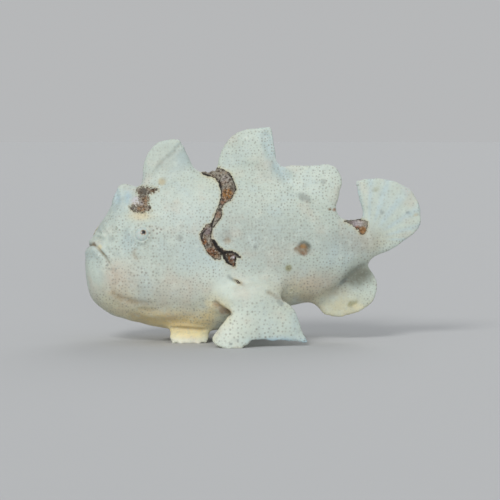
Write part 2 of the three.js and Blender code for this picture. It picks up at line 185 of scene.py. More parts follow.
@dataclass
class Form:
    """A closed form that is joined with others into a piece."""

    name: str

    def build(self) -> bmesh.types.BMesh:
        """Build the closed form in millimetres."""
        raise NotImplementedError


@dataclass
class RoundForm(Form):
    """A form with the lay of a globe: u runs from pole to pole and v goes round."""

    rings: int = 64
    sides: int = 48

    def points(self, u: np.ndarray, v: np.ndarray) -> np.ndarray:
        """Give the surface's points in millimetres, by shares of its length and angles round it."""
        raise NotImplementedError

    def build(self) -> bmesh.types.BMesh:
        """Shape a globe into the form.

        Returns:
            The closed form, its faces outwards.
        """
        form = bmesh.new()
        bmesh.ops.create_uvsphere(form, u_segments=self.sides, v_segments=self.rings, radius=1.0)
        ball = np.array([v.co for v in form.verts])
        u = np.arccos(np.clip(ball[:, 2], -1, 1)) / math.pi
        v = np.arctan2(ball[:, 1], ball[:, 0])
        for vert, place in zip(form.verts, self.points(u, v)):
            vert.co = place
        bmesh.ops.recalc_face_normals(form, faces=form.faces)
        return form


@dataclass
class Trunk(RoundForm):
    """The body from the lips to the root of the tail fin."""

    name: str = "body"
    rings: int = 260
    sides: int = 200
    # x, height of back, of belly and of the widest line, half width, roundness above and below
    stations: Rows = (
        (-63.1, 28.4, 28.4, 28.4, 0.0, 2.0, 2.0),
        (-62.6, 33.4, 22.6, 28.0, 4.8, 2.0, 2.0),
        (-61.2, 37.2, 16.8, 27.0, 8.4, 2.0, 2.1),
        (-58.3, 42.3, 13.3, 26.0, 11.0, 2.0, 2.2),
        (-53.8, 49.2, 10.1, 26.0, 13.0, 2.0, 2.3),
        (-48.5, 54.2, 8.3, 26.0, 14.5, 2.0, 2.3),
        (-41.4, 58.4, 6.6, 26.5, 16.0, 1.9, 2.3),
        (-33.0, 61.4, 4.8, 26.5, 17.3, 1.8, 2.3),
        (-22.0, 62.9, 3.4, 26.5, 18.5, 1.7, 2.3),
        (-10.7, 62.6, 4.7, 27.0, 18.8, 1.6, 2.3),
        (0.0, 61.0, 8.5, 28.5, 18.0, 1.6, 2.2),
        (10.0, 59.4, 12.3, 30.5, 15.9, 1.6, 2.1),
        (20.0, 56.0, 14.2, 32.5, 12.6, 1.6, 2.0),
        (28.4, 50.2, 17.8, 34.3, 9.2, 1.7, 1.9),
        (33.6, 45.9, 21.6, 35.0, 7.2, 1.8, 1.9),
        (37.4, 45.2, 25.2, 35.7, 5.9, 1.8, 1.9),
        (42.2, 45.6, 28.7, 37.0, 4.4, 1.9, 1.9),
        (47.0, 44.0, 31.8, 38.0, 2.8, 2.0, 2.0),
    )
    swellings: tuple[Swelling, ...] = (
        Swelling(-41.2, 41.0, 6.0, 5.5, 1.3),
        Swelling(-38.0, 24.0, 9.0, 9.0, 1.2),
        Swelling(-49.5, 35.5, 4.5, 5.0, -0.9),
        Swelling(-20.0, 44.0, 9.0, 9.0, 0.7),
        Swelling(-26.0, 12.0, 12.0, 4.5, -0.8),
    )
    keel: float = 4.0
    stations_tried: int = 2000
    turns_tried: int = 900
    least_turn: float = 0.01

    def surface(self, station: np.ndarray, turn: np.ndarray) -> np.ndarray:
        """Give points of the body.

        Args:
            station: places along the body, counted in rows of the stations.
            turn: angles from the back, by the left flank when positive, to the belly.

        Returns:
            The points, in millimetres.
        """
        x, back, belly, widest, half, above, below = through(self.stations, station).T
        up, out = np.cos(turn), np.sin(turn)
        power = np.where(up > 0, above, below)
        height = np.where(up > 0, back - widest, widest - belly)
        z = widest + height * np.sign(up) * np.abs(up) ** (2 / power)
        y = half * np.sign(out) * np.abs(out) ** (2 / power)
        side = np.minimum(1, np.abs(y) / self.keel)
        for swelling in self.swellings:
            y = y + np.sign(y) * side * swelling.out * swelling.cover(x, z)
        return np.stack([x, -y, z], 1)

    def points(self, u: np.ndarray, v: np.ndarray) -> np.ndarray:
        """Give the surface's points for shares of the length and angles round it."""
        return self.surface(u * (len(self.stations) - 1), v)

    def flank(self, x: float, z: float, side: Side = Side.LEFT) -> Vector:
        """Find the point of a flank at a place in side view.

        Args:
            x: the place's x.
            z: the place's height.
            side: which flank.

        Returns:
            The point, in millimetres.
        """
        stations = np.linspace(0, len(self.stations) - 1, self.stations_tried)
        station = np.interp(x, through(self.stations, stations)[:, 0], stations)
        turns = np.linspace(self.least_turn, math.pi - self.least_turn, self.turns_tried)
        ring = self.surface(np.full(len(turns), station), turns)
        place = Vector(ring[np.argmin(np.abs(ring[:, 2] - z))])
        return place if side is Side.LEFT else Vector((place.x, -place.y, place.z))

    def outward(self, x: float, z: float, side: Side = Side.LEFT, step: float = 1.2) -> Vector:
        """Give the direction straight out of a flank at a place in side view.

        Args:
            x: the place's x.
            z: the place's height.
            side: which flank.
            step: how far off the slope is measured.

        Returns:
            A direction of length 1.
        """
        along_x = self.flank(x + step, z) - self.flank(x - step, z)
        along_z = self.flank(x, z + step) - self.flank(x, z - step)
        out = along_x.cross(along_z).normalized()
        return out if side is Side.LEFT else Vector((out.x, -out.y, out.z))


@dataclass
class Limb(RoundForm):
    """A round limb along a path whose radius changes, with round ends."""

    path: Rows = ()
    radius: tuple[float, ...] = ()
    side: Side = Side.LEFT
    end_power: int = 6

    def points(self, u: np.ndarray, v: np.ndarray) -> np.ndarray:
        """Give points of the limb.

        Args:
            u: shares of the way from pole to pole.
            v: angles round the path.

        Returns:
            The points, in millimetres.
        """
        share = 0.5 - 0.5 * np.cos(math.pi * u)
        ahead = along(self.path, np.minimum(1, share + SLOPE_STEP))
        behind = along(self.path, np.maximum(0, share - SLOPE_STEP))
        forward = unit(ahead - behind)
        aside = unit(np.cross((0.0, 0.0, 1.0), forward))
        up = np.cross(forward, aside)
        wide = along(tuple((r,) for r in self.radius), share)[:, 0]
        wide = wide * np.sqrt(np.maximum(0, 1 - np.abs(2 * share - 1) ** self.end_power))
        around = aside * np.cos(v)[:, None] + up * np.sin(v)[:, None]
        place = along(self.path, share) + wide[:, None] * around
        return place * (1, -self.side.value, 1)


@dataclass
class Fin(Form):
    """A fin or lobe: rays run straight from the root to the same share of the edge."""

    root: Rows = ()
    edge: Rows = ()
    thick: tuple[float, float] = (4.0, 1.2)
    rays: int = 0
    ridge: float = 0.0
    fringe: float = 0.0
    wave: float = 0.0
    side: Side = Side.LEFT
    rows: int = 56
    columns: int = 96
    ray_power: float = 1.6
    least_half: float = 0.3
    fringe_from: float = 0.7
    thins_by: float = 0.7
    side_half: float = 0.5
    side_rise: float = 6.0
    edge_rounds: tuple[float, float] = (0.95, 1.06)
    ray_length: tuple[float, float] = (0.7, 0.5)
    ray_phase: float = 2.3

    def middle(self, u: np.ndarray, v: np.ndarray) -> np.ndarray:
        """Give points of the fin's middle sheet for shares u of the way out and v across."""
        root, edge = (self.in_space(along(line, v)) for line in (self.root, self.edge))
        return root + (edge - root) * u[:, None]

    @staticmethod
    def in_space(rows: np.ndarray) -> np.ndarray:
        """Stand rows of x and z in the middle plane.

        Args:
            rows: rows of x and z, or of x, y and z, which are left alone.

        Returns:
            Rows of x, y and z.
        """
        if rows.shape[1] == 3:
            return rows
        return np.stack([rows[:, 0], np.zeros(len(rows)), rows[:, 1]], 1)

    def ray_profile(self, v: np.ndarray) -> np.ndarray:
        """Give 1 on the crest of each ray and 0 between rays, or 0 all over without rays."""
        return (0.5 + 0.5 * np.cos(2 * math.pi * (self.rays * v - 0.5))) ** self.ray_power

    def faces_of(self, u: np.ndarray, v: np.ndarray, face: np.ndarray) -> np.ndarray:
        """Give points of the two faces.

        Args:
            u: shares of the way from root to edge.
            v: shares of the way across.
            face: 1 or -1 for the face.

        Returns:
            The points, in millimetres.
        """
        rays = self.ray_profile(v)
        mean, spread = self.ray_length
        uneven = mean + spread * np.sin(self.ray_phase * np.floor(self.rays * v) + len(self.name))
        frayed = self.fringe * (rays * uneven - 0.5) * smooth_step(self.fringe_from, 1, u)
        place = self.middle(u * (1 + frayed), v)
        (u_back, u_on), (v_back, v_on) = (
            (np.maximum(0, t - SLOPE_STEP), np.minimum(1, t + SLOPE_STEP)) for t in (u, v)
        )
        down = self.middle(u_on, v) - self.middle(u_back, v)
        across = self.middle(u, v_on) - self.middle(u, v_back)
        aside = unit(np.cross(down, across))
        plain = (self.thick[0] + (self.thick[1] - self.thick[0]) * u**self.thins_by) / 2
        if self.rays:
            plain = plain * np.minimum(1, self.side_half + self.side_rise * np.minimum(v, 1 - v))
        else:
            oval = np.sqrt(np.maximum(0, 1 - (2 * v - 1) ** 2))
            plain = plain * np.maximum(self.least_half, oval)
        rounded = np.sqrt(np.maximum(0, 1 - smooth_step(*self.edge_rounds, u) ** 2))
        half = np.maximum(self.least_half, plain * rounded) + self.ridge * (1 - 0.5 * u) * rays
        sway = self.wave * u * np.sin(2 * math.pi * v)
        place = place + aside * (face * half + sway)[:, None]
        return place * (1, -self.side.value, 1)

    def build(self) -> bmesh.types.BMesh:
        """Shape a grid into one face of the fin and raise the other from it.

        Returns:
            The closed form, its faces outwards.
        """
        form = bmesh.new()
        bmesh.ops.create_grid(form, x_segments=self.rows, y_segments=self.columns, size=1.0)
        first = set(form.verts)
        bmesh.ops.extrude_face_region(form, geom=form.faces[:])
        flat = np.array([v.co for v in form.verts])
        face = np.array([1.0 if v in first else -1.0 for v in form.verts])
        places = self.faces_of((flat[:, 0] + 1) / 2, (flat[:, 1] + 1) / 2, face)
        for vert, place in zip(form.verts, places):
            vert.co = place
        bmesh.ops.recalc_face_normals(form, faces=form.faces)
        return form


def meshed(name: str, form: bmesh.types.BMesh) -> bpy.types.Mesh:
    """Turn a form into a mesh.

    Args:
        name: the mesh's name.
        form: the form, which is freed.

    Returns:
        The mesh.
    """
    mesh = bpy.data.meshes.new(name)
    form.to_mesh(mesh)
    form.free()
    return mesh


def joined(pieces: Iterable[bmesh.types.BMesh]) -> bmesh.types.BMesh:
    """Put several forms into one.

    Args:
        pieces: the forms, which are freed.

    Returns:
        The one form.
    """
    whole = bmesh.new()
    for piece in pieces:
        mesh = meshed("part", piece)
        whole.from_mesh(mesh)
        bpy.data.meshes.remove(mesh)
    return whole


def finished(name: str, form: bmesh.types.BMesh, slot: str, *replaced: str) -> bpy.types.Object:
    """Turn a form in millimetres into a finished piece that rides on the body.

    Args:
        name: the piece's name.
        form: the form, which is freed.
        slot: the record's material slot; not used.
        replaced: the nodes that the piece stands for.

    Returns:
        The piece, at the origin and unturned.
    """
    bmesh.ops.scale(form, vec=(MM, MM, MM), verts=form.verts)
    return placed(name, meshed(name, form), slot, *replaced)


def placed(name: str, mesh: bpy.types.Mesh, slot: str, *replaced: str) -> bpy.types.Object:
    """Put a finished mesh into the scene as a piece that rides on the body.

    Args:
        name: the piece's name.
        mesh: the mesh, in metres.
        slot: the record's material slot; not used.
        replaced: the nodes that the piece stands for.

    Returns:
        The piece.
    """
    mesh.polygons.foreach_set("use_smooth", [True] * len(mesh.polygons))
    piece = bpy.data.objects.new(name, mesh)
    bpy.context.scene.collection.objects.link(piece)
    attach(piece, BODY_NAME)
    if replaced:
        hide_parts(*replaced)
    log.info("%s: %d faces", name, len(mesh.polygons))
    return piece


class Clay:
    """A mesh whose points are moved as one array, in millimetres."""

    PULL = 0.5
    PUSH = -0.53

    def __init__(self, mesh: bpy.types.Mesh) -> None:
        """Read the mesh's points and edges.

        Args:
            mesh: the mesh, in metres.
        """
        self.mesh = mesh
        flat = np.empty(len(mesh.vertices) * 3)
        mesh.vertices.foreach_get("co", flat)
        self.points = flat.reshape(-1, 3) / MM
        pairs = np.empty(len(mesh.edges) * 2, dtype=np.int32)
        mesh.edges.foreach_get("vertices", pairs)
        self.edges = pairs.reshape(-1, 2)

    def write(self) -> None:
        """Put the points back into the mesh."""
        self.mesh.vertices.foreach_set("co", (self.points * MM).ravel())
        self.mesh.update()

    def normals(self) -> np.ndarray:
        """Measure the mesh as it now is.

        Returns:
            The outward direction at each point.
        """
        self.write()
        flat = np.empty(len(self.points) * 3)
        self.mesh.vertex_normals.foreach_get("vector", flat)
        return flat.reshape(-1, 3)

    def around(self, rows: np.ndarray) -> np.ndarray:
        """Add up the rows of each point's neighbours.

        Args:
            rows: one row of three numbers for each point.

        Returns:
            One row of sums for each point.
        """
        one, two = self.edges.T
        count = len(rows)
        return np.stack([
            np.bincount(one, rows[two, c], count) + np.bincount(two, rows[one, c], count)
            for c in range(3)
        ], 1)

    def relax(self, weight: np.ndarray, times: int, firm: bool = False) -> None:
        """Draw each point towards the middle of its neighbours.

        Args:
            weight: how much each point takes part, from 0 to 1.
            times: how often.
            firm: whether every second turn pushes back, which keeps the volume.
        """
        one, two = self.edges.T
        count = len(self.points)
        degree = np.bincount(one, minlength=count) + np.bincount(two, minlength=count)
        for turn in range(times):
            pull = self.PUSH if firm and turn % 2 else self.PULL
            middle = self.around(self.points) / np.maximum(1, degree)[:, None]
            self.points += pull * weight[:, None] * (middle - self.points)

    def vector(self, name: str, values: np.ndarray) -> None:
        """Keep a direction for each point."""
        data = self.mesh.attributes.new(name, "FLOAT_VECTOR", "POINT").data
        data.foreach_set("vector", values.ravel())

    def attribute(self, name: str, values: np.ndarray) -> None:
        """Keep a number or a colour for each point.

        Args:
            name: the attribute's name.
            values: one number, or one row of three, for each point.
        """
        if values.ndim == 1:
            data = self.mesh.attributes.new(name, "FLOAT", "POINT").data
            data.foreach_set("value", values.astype(np.float32))
            return
        rows = np.concatenate([values, np.ones((len(values), 1))], 1).astype(np.float32)
        data = self.mesh.attributes.new(name, "FLOAT_COLOR", "POINT").data
        data.foreach_set("color", rows.ravel())


# Marks and folds of the skin, all placed in side view

@dataclass(frozen=True)
class Fold:
    """A groove with soft banks along a line of the skin."""

    ENDS = (0.12, 0.25)
    SHADE_ENDS = (0.15, 0.3)
    BANK_AT = 1.7
    SHADE_REACH = 1.4

    line: Rows
    depth: float
    width: float
    bank: float = 0.0
    colour: Colour | None = None
    tint: float = 0.0

    def profile(self, away: np.ndarray, share: np.ndarray) -> np.ndarray:
        """Shape the groove and its banks.

        Args:
            away: signed distances from the line.
            share: shares of the way along it.

        Returns:
            How far the skin moves out.
        """
        dip = -self.depth * bell(away, self.width)
        banks = self.bank * bell(np.abs(away) - self.BANK_AT * self.width, self.width)
        return (dip + banks) * ends(share, *self.ENDS)

    def shade(self, away: np.ndarray, share: np.ndarray) -> np.ndarray:
        """Give how strongly the skin takes the fold's colour, by distance and share of the line."""
        return self.tint * ends(share, *self.SHADE_ENDS) * bell(away, self.SHADE_REACH * self.width)


@dataclass(frozen=True)
class Area:
    """A round or oval area with a soft edge."""

    EDGE = (0.6, 1.3)

    x: float
    z: float
    radius: float
    strength: float
    flat: float = 1.0
    lean: float = 0.0

    @classmethod
    def each(cls, *rows: tuple) -> tuple["Area", ...]:
        """Make an area from each row of its fields."""
        return tuple(cls(*row) for row in rows)

    def cover(self, xz: np.ndarray) -> np.ndarray:
        """Measure points against the area.

        Args:
            xz: the points in side view.

        Returns:
            The area's strength inside it, falling to 0 outside.
        """
        lean = math.radians(self.lean)
        x, z = xz[:, 0] - self.x, xz[:, 1] - self.z
        along_x = (x * math.cos(lean) + z * math.sin(lean)) / self.flat
        away = np.hypot(along_x, z * math.cos(lean) - x * math.sin(lean))
        start, end = (share * self.radius for share in self.EDGE)
        return self.strength * (1 - smooth_step(start, end, away))


@dataclass(frozen=True)
class Spot:
    """An area of its own colour."""

    colour: Colour
    area: Area

    @classmethod
    def each(cls, *rows: tuple) -> tuple["Spot", ...]:
        """Make a spot from each row of a colour and an area's fields."""
        return tuple(cls(colour, Area(*numbers)) for colour, *numbers in rows)


@dataclass(frozen=True)
class Tint(Oval):
    """A wide, soft change of colour."""

    colour: Colour
    strength: float

    @classmethod
    def each(cls, *rows: tuple) -> tuple["Tint", ...]:
        """Make a tint from each row of its fields."""
        return tuple(cls(*row) for row in rows)


PALE = linear(194, 206, 196)
BRIGHT = linear(214, 224, 214)
BLUISH = linear(186, 204, 206)
CREAM = linear(222, 214, 172)
PINKISH = linear(200, 184, 166)
GREYISH = linear(168, 178, 172)
OCHRE = linear(186, 164, 112)
WARM = linear(214, 192, 140)
BROWN = linear(122, 84, 48)
OLIVE = linear(142, 140, 96)
STONE_GREY = linear(128, 132, 128)
DARK_GREY = linear(84, 90, 94)
MOUTH_BROWN = linear(120, 98, 62)
BLUE = linear(168, 196, 212)
HEM_BLUE = linear(166, 202, 222)
TOE_WHITE = linear(230, 230, 214)
SHADE_BLUE = linear(132, 146, 146)
UMBER = linear(152, 130, 98)
GOLD = linear(236, 210, 146)
FOOT_CREAM = linear(240, 226, 168)
LAVENDER = linear(204, 196, 208)
SPOT_BROWN = linear(108, 84, 48)
AMBER = linear(178, 136, 84)
SHADE_OLIVE = linear(112, 115, 100)
OLIVE_GREY = linear(92, 96, 84)
CRUST_GREY = linear(150, 144, 132)
CRUST_BLACK = linear(30, 27, 27)
CRUST_RUST = linear(140, 86, 46)
CRUST_AMBER = linear(152, 110, 62)
CRUST_PALE = linear(206, 200, 205)
CRUST_PURPLE = linear(116, 98, 108)


@dataclass
class Markings:
    """Where the skin's spots, tints, crusts and folds lie on one flank."""

    side: Side
    spots: tuple[Spot, ...] = ()
    tints: tuple[Tint, ...] = ()
    crusts: tuple[Rows, ...] = ()
    crust_stains_and_glints: tuple[Spot, ...] = ()
    inks: tuple[Rows, ...] = ()
    folds: tuple[Fold, ...] = ()

    @staticmethod
    def depth(lines: tuple[Rows, ...], xz: np.ndarray) -> np.ndarray:
        """Measure how deep points lie inside lines of changing width, negative outside.

        Args:
            lines: the lines, as x, z and half their width.
            xz: the points, as x and z.

        Returns:
            The depth in millimetres, up to MARK_REACH either way.
        """
        depth = np.full(len(xz), -MARK_REACH)
        for line in lines:
            away, _, width = line_distance(xz, line)
            depth = np.maximum(depth, width - np.abs(away))
        return np.clip(depth, -MARK_REACH, MARK_REACH)


SHARED_FOLDS = (
    Fold(((-52.6, 28.4), (-52.2, 25), (-52.4, 21.5), (-53, 18)), 0.5, 1.8, 0.25),
    Fold(((-53.6, 20.8), (-51.2, 17.9), (-47.6, 16.4), (-43, 15.6), (-38.5, 15.1), (-35.5, 15.6)),
         0.22, 1, 0.12, UMBER, 0.6),
    Fold(((-43.5, 13.2), (-39, 12.6), (-35, 13)), 0.15, 0.8, 0, OCHRE, 0.4),
    Fold(((-47.5, 11), (-41.5, 8.6), (-34.7, 8.2), (-27.3, 8.6), (-20, 9.6)),
         0.4, 1.5, 0.2, OCHRE, 0.5),
    Fold(((-42.6, 36), (-43.9, 35), (-44.2, 33.4), (-43.2, 31.9), (-41.2, 31.8)),
         0.25, 0.6, 0.15, UMBER, 0.4),
    Fold(((-58.8, 39.6), (-57, 38.7), (-54.4, 38.7)), 0.3, 0.55, 0.2, GREYISH, 0.5),
    Fold(((-56.6, 43), (-54.8, 41.5), (-53.8, 39.6)), 0.3, 0.6, 0.2, GREYISH, 0.4),
    Fold(((-51.6, 36.4), (-51, 33.6), (-49.8, 31.6)), 0.3, 0.8, 0.15, GREYISH, 0.35),
    Fold(((-54.6, 36.2), (-53.4, 35), (-52.6, 33.2)), 0.2, 0.5, 0.15, GREYISH, 0.4),
    Fold(((-46.8, 43.6), (-47.4, 41), (-46.2, 37.8), (-43.6, 36.8)), 0.2, 0.8, 0, SHADE_BLUE, 0.3),
    # Painted shade: the GREYISH tint darkens the crease of the third spine.
    Fold(((-26.4, 74.6), (-27.6, 73), (-29.9, 70.3), (-33.1, 67.6), (-35.9, 64.6), (-38, 60.3)),
         0.35, 0.75, 0.15, GREYISH, 0.6),
    # Painted shade: the BLUE tint darkens the band where the front dorsal fin bends.
    Fold(((4.4, 79.2), (5.2, 75), (6.4, 70.5), (8.8, 65.5), (12.6, 61.2), (17, 58)),
         0.9, 1.9, 0.4, BLUE, 0.35),
    Fold(((-1, 77), (-1.4, 71), (-2, 65)), -0.6, 3.2),
    Fold(((-52, 57.6), (-51, 54), (-50.4, 50.6)), 0.4, 1, 0.2, BLUE, 0.4),
    Fold(((-15, 16.4), (-13.2, 14.6), (-11, 13.2), (-9, 12.3), (-7.6, 11.4)),
         0.7, 0.9, 0.3, AMBER, 0.8),
    # Painted shadow: the UMBER tint along the hand's rear margin, where it stands off the body.
    Fold(((4.4, 20.6), (6.6, 19.3), (9.2, 17.6), (12.2, 15.8)), 0.45, 0.5, 0.1, UMBER, 0.5),
    # Painted shadow: the OCHRE tint under the body's overhang, along the top of the pelvic fin.
    Fold(((-31.4, 5.4), (-27.6, 5.7), (-23, 5.3), (-19, 5), (-16.2, 5.2)),
         0.5, 0.6, 0.25, OCHRE, 0.7),
    Fold(((-9.8, 26.6), (-8.6, 24.9), (-6.6, 23.9), (-4.6, 23.2), (-2.4, 22)),
         0.3, 0.4, 0.1, DARK_GREY, 0.5),
    Fold(((43.6, 29), (40.4, 27.4), (37.1, 25.4), (34, 22.4), (30.9, 19.6), (24.7, 17.2)),
         0.5, 1.1, 0, SHADE_OLIVE, 0.4),
    # Painted shade: the UMBER tint along the belly behind the arm.
    Fold(((14, 15.6), (19, 16.6), (24, 16.2)), 0.2, 1.6, 0, UMBER, 0.35),
)

